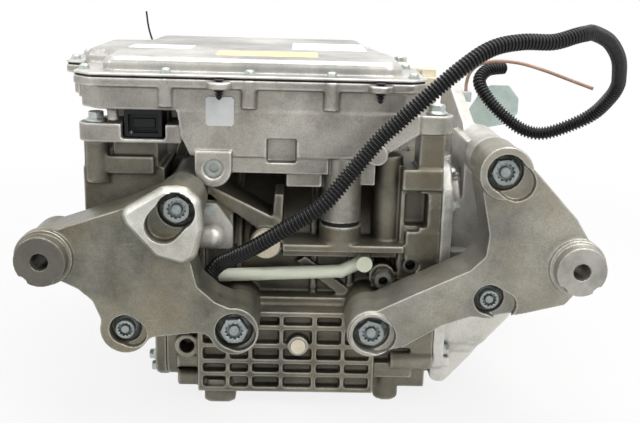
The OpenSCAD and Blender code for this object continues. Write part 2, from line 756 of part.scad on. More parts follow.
module diff_carrier() {
    color(dark_cast)
    difference() {
        union() {
            xcyl(diff_brg[0], wall_x1 - diff_brg[2], diff_wall_x + diff_brg[2], diff_y, diff_z);
            xcyl(body_r, wheel_x[1] + 2, diff_wall_x - 3, diff_y, diff_z);
            xcyl(58, wheel_x[1] + 3, ring_x[0], diff_y, diff_z);
        }
        xcyl(output_d / 2 + run, wall_x1 - diff_brg[2] - 1, case_x1, diff_y, diff_z);
        xcyl(room_r, diff_mid - room_l, diff_mid + room_l, diff_y, diff_z);
        ycyl(pin_r, diff_y - 60, diff_y + 60, diff_mid, diff_z);
    }
}

module diff_pin() {
    color(steel)
    ycyl(pin_r, diff_y - body_r + 1.5, diff_y + body_r - 1.5, diff_mid, diff_z);
}

// bevel wheel: teeth run to the common apex at the origin, big end at z = apex
bevel_m = 3.5;
spider_z = 10;
side_z = 16;
module bevel(z, apex, face, tip_a, root_a, turn) {
    tip = apex * tan(tip_a);
    root = apex * tan(root_a);
    step = 360 / z;
    translate([0, 0, apex])
        mirror([0, 0, 1])
            linear_extrude(height = face, scale = (apex - face) / apex)
                rotate(turn)
                    polygon([for (t = [0 : z - 1])
                        each [for (k = [[-0.22, root], [-0.09, tip], [0.09, tip], [0.22, root]])
                            k[1] * [cos((t + k[0]) * step), sin((t + k[0]) * step)]]]);
}

module spider(way) {
    apex = bevel_m * side_z / 2;
    translate([diff_mid, diff_y, diff_z])
        difference() {
            rotate([way > 0 ? -90 : 90, 0, 0])
                bevel(spider_z, apex, 9, 36.5, 25, 0);
            ycyl(pin_r + run, -50, 50, 0, 0);
        }
}

module spider_gear_a() {
    color(steel)
    spider(1);
}

module spider_gear_b() {
    color(steel)
    spider(-1);
}

module side_gear(way) {
    apex = bevel_m * spider_z / 2;
    translate([diff_mid, diff_y, diff_z])
        rotate([0, way > 0 ? 90 : -90, 0]) {
            bevel(side_z, apex, 5.5, 62.5, 51, 90 + 180 / side_z);
            translate([0, 0, apex - 1])
                cylinder(r = 20, h = room_l - clear - apex + 1);
        }
}

module flange(x0, x1) {
    difference() {
        xcyl(flange_d / 2, x0, x1, diff_y, diff_z);
        for (a = [0 : 60 : 300])
            translate([0, diff_y, diff_z])
                rotate([a, 0, 0])
                    xcyl(flange_hole_d / 2, x0 - 1, x1 + 1, 0, flange_pcd / 2);
        for (x = [x0, x1])
            xcyl(flange_d / 2 - 24, x - 3, x + 3, diff_y, diff_z);
    }
}

module left_output() {
    color(steel) {
        flange(left_flange_x - 14, left_flange_x - 2);
        xcyl(output_d / 2, left_flange_x - 12, diff_mid - 13, diff_y, diff_z);
        side_gear(-1);
    }
}

module right_output() {
    color(steel) {
        flange(case_x1 + 8, case_x1 + 20);
        xcyl(output_d / 2, diff_mid + 13, case_x1 + 18, diff_y, diff_z);
        side_gear(1);
    }
}

module diff_inner_rings() {
    color(steel) {
        inner_ring(diff_brg, wall_x1 - lay_brg[2], diff_y, diff_z);
        inner_ring(diff_brg, diff_wall_x, diff_y, diff_z);
    }
}

module diff_outer_rings() {
    color(steel) {
        outer_ring(diff_brg, wall_x1 - lay_brg[2], diff_y, diff_z);
        outer_ring(diff_brg, diff_wall_x, diff_y, diff_z);
    }
}

module output_seals() {
    color(black) {
        xring(output_d / 2 + run, output_d / 2 + 10, left_flange_x + 6, left_flange_x + 14, diff_y, diff_z);
        xring(output_d / 2 + run, output_d / 2 + 10, case_x1 - 5, case_x1, diff_y, diff_z);
    }
}

// inverter
module inverter_housing() {
    color(cast_grey)
    difference() {
        union() {
            // rim that carries the gasket
            translate([0, 0, flange_z0])
                linear_extrude(flange_z1 - flange_z0)
                    polygon(rounded(rim_outline, 9));
            translate([0, 0, tray_z])
                linear_extrude(flange_z0 - tray_z + 1)
                    polygon(rounded([for (p = rim_outline) [p[0] * 0.965 - 2, p[1] * 0.965]], 9));
            // deep middle section with its sloping right end
            along_y(front_y + 2, 186)
                polygon([[-138, tray_z + 1], [-134, 292], [-125, deep_z], [66, deep_z], [106, 299],
                    [106, tray_z + 1]]);
            // rim ears for the harness clips
            for (x = clip_x)
                zcyl(12, flange_z0 + 1, flange_z1 - 1, x, clip_y);
            // half round bosses under the screws
            for (h = [lid_holes[1], lid_holes[2], lid_holes[3]])
                zcyl(8.5, tray_z + 4, flange_z1, h[0], h[1] - 4);
            // ears
            for (e = ears) {
                zcyl(17, e[2], e[2] + ear_t, e[0], e[1]);
                box(min(e[0], e[0] < 0 ? -200 : 100), max(e[0], e[0] < 0 ? -200 : 100), e[1] - 17, e[1] + 17,
                    e[2], e[2] + ear_t);
            }
            // ledge and wall round the control connector, and the block at the left end of the rim
            box(-222, -134, -145, -90, 284, 284 + ear_t);
            box(-216, -134, -104, -90, 284, tray_z + 2);
            zcyl(5.5, 306, tray_z + 2, -203, -138);
            box(-243, -224, -112, -60, 325, flange_z0 + 1);
            box(-166, -128, 101, 135, 284, tray_z + 2);
            box(72, ears[3][0], 173, 190, ears[3][2], tray_z + 4);
            // lug with its cross hole, lip, slat and corner boss
            box(-120, -83, front_y - 2, -128, 260, deep_z + 6);
            ycyl(18.5, front_y - 2, -128, -101.5, 260);
            box(-83, 15, -146, -122, 256, deep_z + 2);
            box(-28, 9, -140, -128, 241, 258);
            ycyl(11, front_y - 1, -134, 64, 278);
            // coolant stub reaching down to the collar
            zcyl(stub_d / 2, 204, deep_z + 2, stub_at[0], stub_at[1]);
            box(46, 64, -134, -112, 243, deep_z + 2);
            box(90, 110, -70, 40, 299, 330);
        }
        // inside of the tray and of the deep section
        translate([0, 0, tray_z + tray_wall])
            linear_extrude(60)
                polygon(rounded([for (p = dome_outline) [p[0] * 0.97 - 2, p[1] * 0.95]], 6));
        box(-124 + tray_wall, 64, front_y + 16 + tray_wall, 186 - tray_wall, deep_z + tray_wall, 296);
        box(-124 + tray_wall, 64, front_y + 4 + tray_wall, 186 - tray_wall, 295, 330);
        // front pocket
        box(-48, -18, front_y - 4, -137, deep_z - 6, 292);
        ycyl(9.5, front_y - 3, -120, -101.5, 260);
        zcyl(stub_d / 2 - 6, 200, deep_z + 7, stub_at[0], stub_at[1]);
        for (e = ears) {
            zcyl(ear_bolt_r + bolt_clear / 2, e[2] - 1, e[2] + ear_t + 1, e[0], e[1]);
            zcyl(13, e[2] + ear_t, max(tray_z, e[2] + ear_t + 1), e[0], e[1]);
        }
        for (h = lid_holes)
            zcyl(2.5, flange_z1 - 14, flange_z1 + 1, h[0], h[1]);
        // ear holes for the harness clips
        for (x = clip_x)
            zcyl(3.2, flange_z0 - 1, flange_z1 + 1, x, clip_y);
        // window for the control connector
        box(-194, -150, front_y - 4, -100, tray_z - 30, tray_z);
    }
}

module inverter_lid() {
    color(pale_cast)
    difference() {
        union() {
            translate([0, 0, lid_z])
                linear_extrude(lid_t)
                    polygon(rounded(rim_outline, 9));
            for (k = [1 : dome_steps])
                translate([0, 0, lid_z])
                    linear_extrude(lid_t + dome_h - dome_r * (1 - sin(90 * k / dome_steps)))
                        offset(delta = -dome_r * (1 - cos(90 * k / dome_steps)))
                            polygon(rounded(dome_outline, 14));
            // round pads under the screw heads
            for (h = lid_holes)
                zcyl(7.5, lid_z, lid_z + lid_t, h[0], h[1]);
        }
        translate([0, 0, lid_z - 1])
            linear_extrude(dome_h - 1)
                polygon(rounded([for (p = dome_outline) [p[0] * 0.96 - 2, p[1] * 0.955]], 10));
        for (h = lid_holes)
            zcyl(2.5 + bolt_clear / 2, lid_z - 1, lid_z + lid_t + 1, h[0], h[1]);
    }
}

module lid_gasket() {
    color(black)
    translate([0, 0, gasket_z])
        linear_extrude(gasket_t)
            difference() {
                polygon(rounded([for (p = rim_outline) [p[0] * 0.992 - 0.6, p[1] * 0.992]], 9));
                polygon(rounded([for (p = dome_outline) [p[0] * 0.97 - 2, p[1] * 0.95]], 6));
                for (h = lid_holes)
                    translate(h)
                        circle(r = 2.5 + bolt_clear / 2);
            }
}

module lid_screws() {
    color(zinc)
    for (h = lid_holes)
        difference() {
            union() {
                zcyl(lid_head_d / 2, lid_z + lid_t, lid_z + lid_t + lid_head_h, h[0], h[1]);
                zcyl(2.5, flange_z1 - 12, lid_z + lid_t + 1, h[0], h[1]);
            }
            translate([h[0], h[1], lid_z + lid_t + lid_head_h - 2])
                cylinder(r = lid_head_d * 0.26, h = 4, $fn = 6);
        }
}

module inverter_bolts() {
    color(zinc)
    for (e = ears)
        bolt_z(e[0], e[1], e[2] + ear_t, ear_bolt_r, 11, 8.6, 7, ear_t + 20);
}

module control_connector() {
    color(black)
    difference() {
        box(-192, -154, -138, -104, tray_z - 29, tray_z);
        box(-188, -158, -140, -130, tray_z - 25, tray_z - 6);
    }
    color(black)
    box(-184, -162, -132, -106, tray_z - 20, tray_z - 11);
}

module hv_connector() {
    color(cream) {
        difference() {
            union() {
                box(139, 157, 92, 128, 282, 330);
                xcyl(9, 92, 157, 110, 338);
                box(139, 157, 100, 120, 326, 340);
            }
            xcyl(5, 91, 100, 110, 338);
        }
    }
}

module harness_clips() {
    color(black)
    for (x = clip_x) {
        zcyl(3.2, flange_z0 - 10, flange_z1 + 0.4, x, clip_y);
        zcyl(4.8, flange_z1, flange_z1 + 1.4, x, clip_y);
        for (k = [0 : 2])
            translate([x, clip_y, flange_z0 - 4 - k * 3])
                cylinder(r1 = 3.2, r2 = 5, h = 2.4);
    }
}

module power_module() {
    color(black)
    for (x = [-100, -58, -16])
        box(x, x + 36, -120, -30, deep_z + tray_wall, deep_z + tray_wall + 16);
}

module dc_link_capacitor() {
    color([0.24, 0.24, 0.26])
    box(-106, 40, 20, 160, deep_z + tray_wall, deep_z + tray_wall + 38);
}

module control_board() {
    color([0.13, 0.34, 0.20])
    box(-112, 52, -136, 168, deep_z + tray_wall + 38, deep_z + tray_wall + 40);
    color(black)
    for (x = [-80, -30, 20])
        box(x, x + 18, -100, -70, deep_z + tray_wall + 39, deep_z + tray_wall + 42);
    color([0.6, 0.6, 0.6])
    for (x = [-106, 44])
        for (y = [-120, 0])
            zcyl(3, deep_z + tray_wall, deep_z + tray_wall + 38.5, x, y);
}

module phase_busbars() {
    color(copper)
    for (x = [-82, -40, 2]) {
        box(x - 6, x + 6, -58, 12, deep_z + tray_wall + 16, deep_z + tray_wall + 19);
        box(x - 6, x + 6, 8, 12, deep_z + tray_wall, deep_z + tray_wall + 17);
    }
}

module coolant_stub_seal() {
    color(black)
    translate([0, 0, 200])
        difference() {
            zcyl(stub_d / 2 - 1, 0, 4, stub_at[0], stub_at[1]);
            zcyl(stub_d / 2 - 5, -1, 5, stub_at[0], stub_at[1]);
        }
}

module locating_dowel() {
    color(zinc)
    difference() {
        ycyl(9.5, -144, -128, -101.5, 260);
        ycyl(5, -145, -138, -101.5, 260);
    }
}

// pipes on the front
module coolant_elbow() {
    r = elbow_d / 2 - 5;
    color(pale_cast)
    translate([elbow_at[0], 0, elbow_at[1]]) {
        along_y(-133, -128)
            difference() {
                polygon(rounded([[-11, 20], [-9, 34], [3, 34], [20, 10], [20, -15], [-17, -15], [-19, 4]], 5));
                translate([-4, 27])
                    circle(r = 2.5 + bolt_clear / 4);
            }
        ycyl(r, -141.5, -132, 0, 0);
        translate([0, -141.5, 0])
            sphere(r = r + 0.2);
        xcyl(r, -36, 0, -141.5, 0);
    }
}

module elbow_screw() {
    x = elbow_at[0] - 4;
    z = elbow_at[1] + 27;
    color(zinc)
    ycyl(2.5, -135, -114, x, z);
    color(zinc)
    ycyl(5, -137, -133, x, z);
}

module pipe_run(a, b) {
    translate([a[0], pipe_y, a[1]])
        rotate([0, 90 - atan2(b[1] - a[1], b[0] - a[0]), 0])
            cylinder(r = pipe_d / 2, h = norm(b - a));
}

module oil_pipe() {
    color([0.80, 0.84, 0.74]) {
        pipe_run(oil_a, oil_b);
        translate([oil_b[0], pipe_y, oil_b[1]])
            sphere(r = pipe_d / 2 + 0.3);
        pipe_run(oil_b, oil_c);
        ycyl(pipe_d / 2 + 1.5, pipe_y - 13, pipe_y + 11, oil_c[0], oil_c[1]);
    }
}

module core_plugs() {
    color(cream) {
        ycyl(15, -138, -131, -48, 178);
        ycyl(8, front_y - 3, front_y + 8, -12, 69);
    }
}

module vent_nipple() {
    x = nipple[0];
    z = nipple[1];
    color(zinc)
    difference() {
        union() {
            ycyl(6, -133, -114, x, z);
            translate([x, -132, z])
                rotate([90, 0, 0])
                    cylinder(r = 11, h = 6, $fn = 6);
            ycyl(9, -148, -137.5, x, z);
        }
        ycyl(5, -149, -134, x, z);
    }
}

module drain_plug() {
    color(zinc)
    difference() {
        ycyl(8, -138, -116, 105, 158);
        ycyl(5.5, -139, -122, 105, 158);
    }
}

// bracket castings
module left_outline() {
    offset(r = -10)
        offset(r = 10) {
            translate(left_boss)
                circle(r = boss_d / 2);
            for (p = left_holes)
                translate(p)
                    circle(r = lobe_r);
            polygon([left_boss + [4, boss_d / 2], [-186, 232], [-146, 250], [-118, 250], [-110, 228],
                [-120, 190], [-112, 156], [-94, 140], [-66, 128], [-76, 100], [-112, 108], [-146, 104],
                [-183, 98], [-205, 118], [-214, 140], [-228, 152], left_boss + [10, -boss_d / 2 + 2]]);
        }
}

module right_outline() {
    offset(r = -10)
        offset(r = 10) {
            translate(right_boss)
                circle(r = boss_d / 2);
            for (p = [right_holes[0], right_holes[1]])
                translate(p)
                    circle(r = lobe_r);
            polygon([[166, 292], [196, 292], [214, 274], [254, 232], right_boss + [18, 14],
                right_boss + [6, -22],
                [250, 144], [210, 134], [176, 128], [158, 130], [130, 120], [92, 96], [60, 90], [40, 116],
                [68, 136], [104, 154], [154, 178], [168, 192], [170, 214], [160, 258]]);
        }
}

// long recess between two ends
function slot_points(a, b, r, n = 10) =
    let (t = atan2(b[1] - a[1], b[0] - a[0]))
    concat([for (i = [0 : n]) a + r * [cos(t + 90 + 180 * i / n), sin(t + 90 + 180 * i / n)]],
        [for (i = [0 : n]) b + r * [cos(t - 90 + 180 * i / n), sin(t - 90 + 180 * i / n)]]);

// bored boss with its collar and the two notches at its lower edge
module bracket_boss(at) {
    difference() {
        ycyl(boss_d / 2, boss_face, bracket_back + 6, at[0], at[1]);
        for (a = boss_notches)
            ycyl(8, boss_face - 1, boss_face + 11, at[0] + 30 * cos(a), at[1] + 30 * sin(a));
    }
    ycyl(boss_d / 2 + 3.5, bracket_face - 5, bracket_face + 8, at[0], at[1]);
}

// bore, bolt holes, counterbores and long recesses of a bracket
module bracket_cuts(boss, holes, share, recess) {
    ycyl(bore_d / 2, boss_face - 1, bracket_back + 8, boss[0], boss[1]);
    for (i = [0 : 2]) {
        p = holes[i];
        ycyl(share[i] * bracket_bolt_d / 2 + bolt_clear / 2, bracket_face - 20, bracket_back + 1,
            p[0], p[1]);
        ycyl(share[i] * bracket_flange_d / 2 + 2, bracket_face - 20, seat_y, p[0], p[1]);
        along_y(bracket_face - 20, seat_y - 6)
            polygon(slot_points(p, p + recess[i], share[i] * bracket_flange_d / 2 + 1));
    }
}

// outline of the raised pad round the upper left bolt
left_pad = [[-190, 229], [-144, 257], [-121, 257], [-106, 244], [-104, 214], [-112, 186], [-124, 178],
    [-152, 186]];

module left_bracket() {
    color(cast_grey)
    difference() {
        union() {
            along_y(bracket_face, bracket_back)
                left_outline();
            bracket_boss(left_boss);
            hull() {
                along_y(bracket_face - 0.5, bracket_face + 1)
                    polygon(rounded(left_pad, 12));
                along_y(bracket_face - pad_up, bracket_face - pad_up + 0.5)
                    offset(delta = -6)
                        polygon(rounded(left_pad, 12));
            }
        }
        bracket_cuts(left_boss, left_holes, left_share, left_recess);
    }
}

module right_bracket() {
    color(cast_grey)
    difference() {
        union() {
            along_y(bracket_face, bracket_back)
                right_outline();
            bracket_boss(right_boss);
            ycyl(lobe_r + 1.5, bracket_face - 5, bracket_face + 3, right_holes[0][0], right_holes[0][1]);
            ycyl(lobe_r - 2, bracket_face - 3, bracket_face + 2, right_holes[1][0], right_holes[1][1]);
        }
        bracket_cuts(right_boss, right_holes, right_share, right_recess);
    }
}

module bracket_bolt(p, share) {
    bolt_y(p[0], seat_y, p[1], share * bracket_bolt_d / 2, share * bracket_flange_d / 2,
        share * bracket_flange_d * 0.37, 9, bracket_back + bolt_grip - 2 - seat_y);
}

module left_bracket_bolts() {
    color(zinc)
    for (i = [0 : 2])
        bracket_bolt(left_holes[i], left_share[i]);
}

module right_bracket_bolts() {
    color(zinc)
    for (i = [0 : 2])
        bracket_bolt(right_holes[i], right_share[i]);
}

// electrical bits on the right and the rear
module earth_plate() {
    color([0.67, 0.74, 0.70])
    along_y(post_y, post_y + 2)
        difference() {
            polygon(rounded([[150, 250], [150, 280], [206, 284], [222, 312], [234, 319], [258, 319],
                [272, 302], [272, 282], [256, 268], [226, 262], [190, 250]], 6));
            translate([229, 306])
                circle(r = 5);
            translate([254, 282])
                circle(r = 6);
            translate([162, 266])
                circle(r = 3);
        }
}

module conduit() {
    color(black)
    tube(conduit_route, conduit_d, 10, [0.2, 1, 0.1]);
}

module conduit_gland() {
    color(black) {
        ycyl(8, -127, -114, gland_at[0], gland_at[1]);
        ycyl(11, -132, -126, gland_at[0], gland_at[1]);
    }
}

module earth_lead() {
    color([0.62, 0.45, 0.36])
    tube(earth_route, 4, 8, [0, 1, 0.1]);
}

module earth_terminal() {
    color(zinc)
    box(rim_x, 190, 28, 40, 310, 322);
}

module sensor_lead() {
    color(black)
    tube(sensor_route, 2.4, 8, [1, 0, 0]);
}

module sensor_grommet() {
    color(black)
    ycyl(5, 189.2, sensor_route[0][1], sensor_route[0][0], sensor_route[0][2]);
}

motor_housing();
left_end_shield();
gear_case();
end_shield_bolts();
gear_case_bolts();
at_motor() stator_core();
stator_windings();
rotor_core();
rotor_shaft();
rotor_inner_rings();
rotor_outer_rings();
resolver_stator();
resolver_rotor();
input_pinion();
layshaft();
layshaft_wheel();
layshaft_inner_rings();
layshaft_outer_rings();
ring_gear();
diff_carrier();
diff_inner_rings();
diff_outer_rings();
diff_pin();
spider_gear_a();
spider_gear_b();
left_output();
right_output();
output_seals();
inverter_housing();
inverter_lid();
lid_gasket();
lid_screws();
inverter_bolts();
control_connector();
hv_connector();
harness_clips();
power_module();
dc_link_capacitor();
control_board();
phase_busbars();
coolant_stub_seal();
locating_dowel();
coolant_elbow();
elbow_screw();
oil_pipe();
core_plugs();
vent_nipple();
drain_plug();
left_bracket();
right_bracket();
left_bracket_bolts();
right_bracket_bolts();
earth_plate();
conduit();
conduit_gland();
earth_lead();
earth_terminal();
sensor_lead();
sensor_grommet();
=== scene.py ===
import json
import math

import bmesh
import bpy
from mathutils import Matrix, Vector


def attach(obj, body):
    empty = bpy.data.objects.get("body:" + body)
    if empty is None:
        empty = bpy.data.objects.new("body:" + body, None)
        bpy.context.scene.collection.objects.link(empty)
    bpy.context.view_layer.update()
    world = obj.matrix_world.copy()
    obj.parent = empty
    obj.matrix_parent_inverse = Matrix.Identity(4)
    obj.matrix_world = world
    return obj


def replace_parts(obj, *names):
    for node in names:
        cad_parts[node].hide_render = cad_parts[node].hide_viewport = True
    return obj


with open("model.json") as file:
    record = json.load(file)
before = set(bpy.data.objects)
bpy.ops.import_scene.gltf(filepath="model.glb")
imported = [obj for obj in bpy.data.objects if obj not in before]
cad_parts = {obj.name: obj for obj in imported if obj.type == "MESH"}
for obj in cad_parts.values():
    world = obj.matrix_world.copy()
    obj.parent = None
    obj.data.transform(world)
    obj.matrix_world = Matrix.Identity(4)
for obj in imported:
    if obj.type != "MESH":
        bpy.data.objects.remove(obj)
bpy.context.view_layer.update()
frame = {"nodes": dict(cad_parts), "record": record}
NODES = frame["nodes"]
MM = 0.001

# Camera, read from the photograph's vanishing points
CAMERA_AT = Vector((-0.018, -1.030, 0.454))
CAMERA_PITCH = math.radians(15.0)
CAMERA_YAW = math.radians(1.66)
CAMERA_ROLL = math.radians(1.6)
CAMERA_LENS = 50.0
SENSOR_WIDTH = 36.0

# Cord routes in millimetres, the same points as the solids follow
CONDUIT_ROUTE = [
    (-112, -132, 128), (-112, -139, 128), (-110, -145, 137), (-104, -147, 149), (-95, -151, 160),
    (-80, -162, 171), (-58, -174, 186), (-28, -183, 208), (8, -188, 234), (34, -189, 266),
    (62, -188, 301), (80, -186, 318), (102, -182, 338), (140, -172, 370), (170, -160, 388),
    (202, -148, 394), (236, -136, 394), (262, -124, 400), (275, -115, 402), (286, -104, 402),
    (312, -78, 392), (334, -50, 372), (347, -22, 348), (350, -11, 337), (348, 0, 324),
    (338, 20, 302), (318, 32, 286), (286, 42, 272), (262, 50, 274), (240, 60, 288),
    (220, 72, 308), (210, 86, 328), (222, 100, 341), (246, 110, 344),
]
EARTH_ROUTE = [
    (184, 34, 322), (184, 34, 332), (187, 30, 345), (196, 24, 355), (214, 18, 360),
    (240, 10, 359), (268, 2, 352), (298, -6, 342), (322, -12, 334),
]
SENSOR_ROUTE = [
    (-206, 200, 329), (-206, 206, 329), (-207, 211, 334), (-212, 212, 346), (-219, 212, 362),
    (-223, 211, 378), (-225, 209, 398),
]
CONDUIT_D = 16.5 * MM
EARTH_D = 4.0 * MM
SENSOR_D = 2.4 * MM


# Shader node helpers

def srgb(red, green, blue):
    """A colour given in 0 to 255 sRGB, as linear RGBA."""
    def linear(value):
        value /= 255.0
        return value / 12.92 if value <= 0.04045 else ((value + 0.055) / 1.055) ** 2.4
    return (linear(red), linear(green), linear(blue), 1.0)


class Shader:
    """A new material with short calls that add and join its nodes."""

    def __init__(self, name):
        self.material = bpy.data.materials.new(name)
        self.material.use_nodes = True
        self.tree = self.material.node_tree
        self.out = self.tree.nodes["Principled BSDF"]
        self.place = self.node("ShaderNodeTexCoord").outputs["Object"]

    def node(self, kind, **values):
        made = self.tree.nodes.new(kind)
        for key, value in values.items():
            setattr(made, key, value)
        return made

    def join(self, source, target):
        self.tree.links.new(source, target)

    def feed(self, value, socket):
        """Joins an output to the socket, or gives the socket a plain value."""
        if hasattr(value, "is_linked"):
            self.join(value, socket)
        else:
            socket.default_value = value

    def set(self, **values):
        for key, value in values.items():
            self.out.inputs[key.replace("_", " ")].default_value = value

    def stretched(self, factors):
        scaled = self.node("ShaderNodeVectorMath", operation="MULTIPLY")
        self.join(self.place, scaled.inputs[0])
        scaled.inputs[1].default_value = factors
        return scaled.outputs[0]

    def noise(self, scale, detail=4.0, rough=0.55, place=None):
        made = self.node("ShaderNodeTexNoise")
        made.inputs["Scale"].default_value = scale
        made.inputs["Detail"].default_value = detail
        made.inputs["Roughness"].default_value = rough
        self.join(place or self.place, made.inputs["Vector"])
        return made.outputs["Fac"]

    def spots(self, scale):
        made = self.node("ShaderNodeTexVoronoi")
        made.inputs["Scale"].default_value = scale
        self.join(self.place, made.inputs["Vector"])
        return made.outputs["Distance"]

    def ramp(self, source, *stops):
        made = self.node("ShaderNodeValToRGB")
        ramp = made.color_ramp
        while len(ramp.elements) < len(stops):
            ramp.elements.new(0.5)
        for element, (at, colour) in zip(ramp.elements, stops):
            element.position = at
            element.color = colour if isinstance(colour, tuple) else (colour, colour, colour, 1.0)
        self.join(source, made.inputs["Fac"])
        return made.outputs["Color"]

    def span(self, source, low, high, to_low, to_high):
        made = self.node("ShaderNodeMapRange")
        for key, value in zip(("From Min", "From Max", "To Min", "To Max"), (low, high, to_low, to_high)):
            made.inputs[key].default_value = value
        self.join(source, made.inputs["Value"])
        return made.outputs["Result"]

    def mix(self, how, amount, first, second):
        made = self.node("ShaderNodeMix", data_type="RGBA", blend_type=how)
        self.feed(amount, made.inputs["Factor"])
        self.feed(first, made.inputs[6])
        self.feed(second, made.inputs[7])
        return made.outputs[2]

    def math(self, how, first, second):
        made = self.node("ShaderNodeMath", operation=how)
        self.feed(first, made.inputs[0])
        self.feed(second, made.inputs[1])
        return made.outputs[0]

    def axis(self, name):
        parts = self.node("ShaderNodeSeparateXYZ")
        self.join(self.place, parts.inputs[0])
        return parts.outputs[name]

    def bump(self, height, strength, distance, below=None):
        made = self.node("ShaderNodeBump")
        made.inputs["Strength"].default_value = strength
        made.inputs["Distance"].default_value = distance
        self.join(height, made.inputs["Height"])
        if below:
            self.join(below, made.inputs["Normal"])
        return made.outputs["Normal"]

    def crevice(self, distance):
        made = self.node("ShaderNodeAmbientOcclusion", samples=4)
        made.inputs["Distance"].default_value = distance
        return made.outputs["AO"]

    def edge(self):
        return self.node("ShaderNodeNewGeometry").outputs["Pointiness"]

    def rings(self, centre, pitch):
        """Turning marks round an axis along Y."""
        apart = self.node("ShaderNodeVectorMath", operation="DISTANCE")
        self.join(self.stretched((1, 0, 1)), apart.inputs[0])
        apart.inputs[1].default_value = (centre[0], 0, centre[1])
        return self.math("SINE", self.math("MULTIPLY", apart.outputs["Value"], 2 * math.pi / pitch), 0.0)

    def scratches(self, heading, length, width):
        """Scattered thin marks along one heading, 1 on a mark."""
        turned = self.node("ShaderNodeMapping")
        self.join(self.place, turned.inputs["Vector"])
        turned.inputs["Rotation"].default_value = (0.3, heading, 0.2)
        turned.inputs["Scale"].default_value = (1.0 / length, 1.0 / width, 1.0 / width)
        lines = self.noise(1.0, 1.0, 0.5, turned.outputs["Vector"])
        marks = self.ramp(lines, (0.70, 0.0), (0.74, 1.0))
        return self.math("MULTIPLY", marks, self.ramp(self.noise(23.0, 2.0), (0.5, 0.0), (0.62, 1.0)))


# Materials

TURNING_PITCH = 1.1 * MM


def cast_metal(name, dark, light, wear_and_highlight_tone, grime_and_shade, reach, rough, metallic, wear_and_highlight_share, grime_and_shade_share,
               turned=None, raised=None, soil=None):
    """Cast aluminium: mottled and pitted, with soiling and painted shade in its recesses, and edges lightened
    as wear and painted highlight.

    reach is how far a recess is seen as one; two shares weigh the wear with painted highlight on edges and
    the soiling with painted shade in recesses. turned is a machined face in front of a level along Y, its
    tone and its centre. raised is a pad that turns pale, a painted highlight, from one level along Y to the
    next, right of a place along X, and its tone. soil is the tone of patches of dried mud.
    """
    shader = Shader(name)
    clouds = shader.noise(11.0, 8.0, 0.66)
    colour = shader.ramp(clouds, (0.34, dark), (0.66, light))
    # Painted highlight: the pad gets a pale tone, standing for the light that falls on it.
    if raised:
        foot, top, left, tone = raised
        proud = shader.span(shader.axis("Y"), foot, top, 0.0, 1.0)
        proud = shader.math("MULTIPLY", proud, shader.math("GREATER_THAN", shader.axis("X"), left))
        colour = shader.mix("MIX", shader.math("MULTIPLY", proud, 0.9), colour, tone)
    patina = shader.noise(7.0, 4.0, 0.6)
    colour = shader.mix("MULTIPLY", 0.9, colour, shader.ramp(patina, (0.36, 0.5), (0.6, 1.0)))
    stains = shader.noise(46.0, 8.0, 0.72)
    colour = shader.mix("MULTIPLY", 0.5, colour, shader.ramp(stains, (0.34, 0.6), (0.50, 1.0)))
    if soil:
        patches = shader.ramp(shader.noise(16.0, 6.0, 0.6), (0.47, 0.0), (0.66, 1.0))
        colour = shader.mix("MIX", shader.math("MULTIPLY", patches, 0.45), colour, soil)
    grain = shader.noise(950.0, 3.0)
    colour = shader.mix("OVERLAY", 0.4, colour, shader.ramp(grain, (0.3, 0.3), (0.7, 0.7)))
    pits = shader.ramp(shader.spots(300.0), (0.10, 0.55), (0.22, 1.0))
    colour = shader.mix("MULTIPLY", 0.5, colour, pits)
    # Painted shade: recesses found by ambient occlusion are darkened towards the recess tone, partly real
    # soiling and partly painted shade.
    grime_and_shade_mask = shader.ramp(shader.crevice(reach), (0.2, 1.0), (0.8, 0.0))
    colour = shader.mix("MIX", shader.math("MULTIPLY", grime_and_shade_mask, grime_and_shade_share), colour, grime_and_shade)
    # Painted highlight: convex edges found by pointiness are lightened towards the pale edge tone, partly
    # wear and partly painted highlight; the scratches mixed in below are real wear.
    wear_and_highlight = shader.ramp(shader.edge(), (0.508, 0.0), (0.55, 1.0))
    wear_and_highlight = shader.math("MULTIPLY", wear_and_highlight, shader.span(stains, 0.3, 0.6, 0.4, 1.0))
    marks = shader.math("MAXIMUM", shader.scratches(0.6, 0.03, 0.0012), shader.scratches(2.3, 0.02, 0.0009))
    marks = shader.math("MULTIPLY", marks, 0.18)
    wear_and_highlight = shader.math("MULTIPLY", shader.math("MAXIMUM", wear_and_highlight, marks), wear_and_highlight_share)
    colour = shader.mix("MIX", wear_and_highlight, colour, wear_and_highlight_tone)
    roughness = shader.span(clouds, 0.3, 0.7, rough - 0.09, rough + 0.1)
    bumped = shader.bump(grain, 0.25, 0.0004)
    bumped = shader.bump(shader.noise(150.0, 5.0, 0.6), 0.16, 0.0014, bumped)
    bumped = shader.bump(shader.noise(26.0, 2.0), 0.35, 0.003, bumped)
    if turned:
        level, tone, centre = turned
        face = shader.math("LESS_THAN", shader.axis("Y"), level)
        lines = shader.rings(centre, TURNING_PITCH)
        stained = shader.mix("MULTIPLY", 0.7, tone, shader.ramp(stains, (0.34, 0.5), (0.62, 1.0)))
        colour = shader.mix("MIX", shader.math("MULTIPLY", face, 0.85), colour, stained)
        bumped = shader.bump(shader.math("MULTIPLY", lines, face), 0.3, 0.0003, bumped)
    shader.join(colour, shader.out.inputs["Base Color"])
    shader.join(roughness, shader.out.inputs["Roughness"])
    shader.set(Metallic=metallic)
    shader.join(bumped, shader.out.inputs["Normal"])
    return shader.material


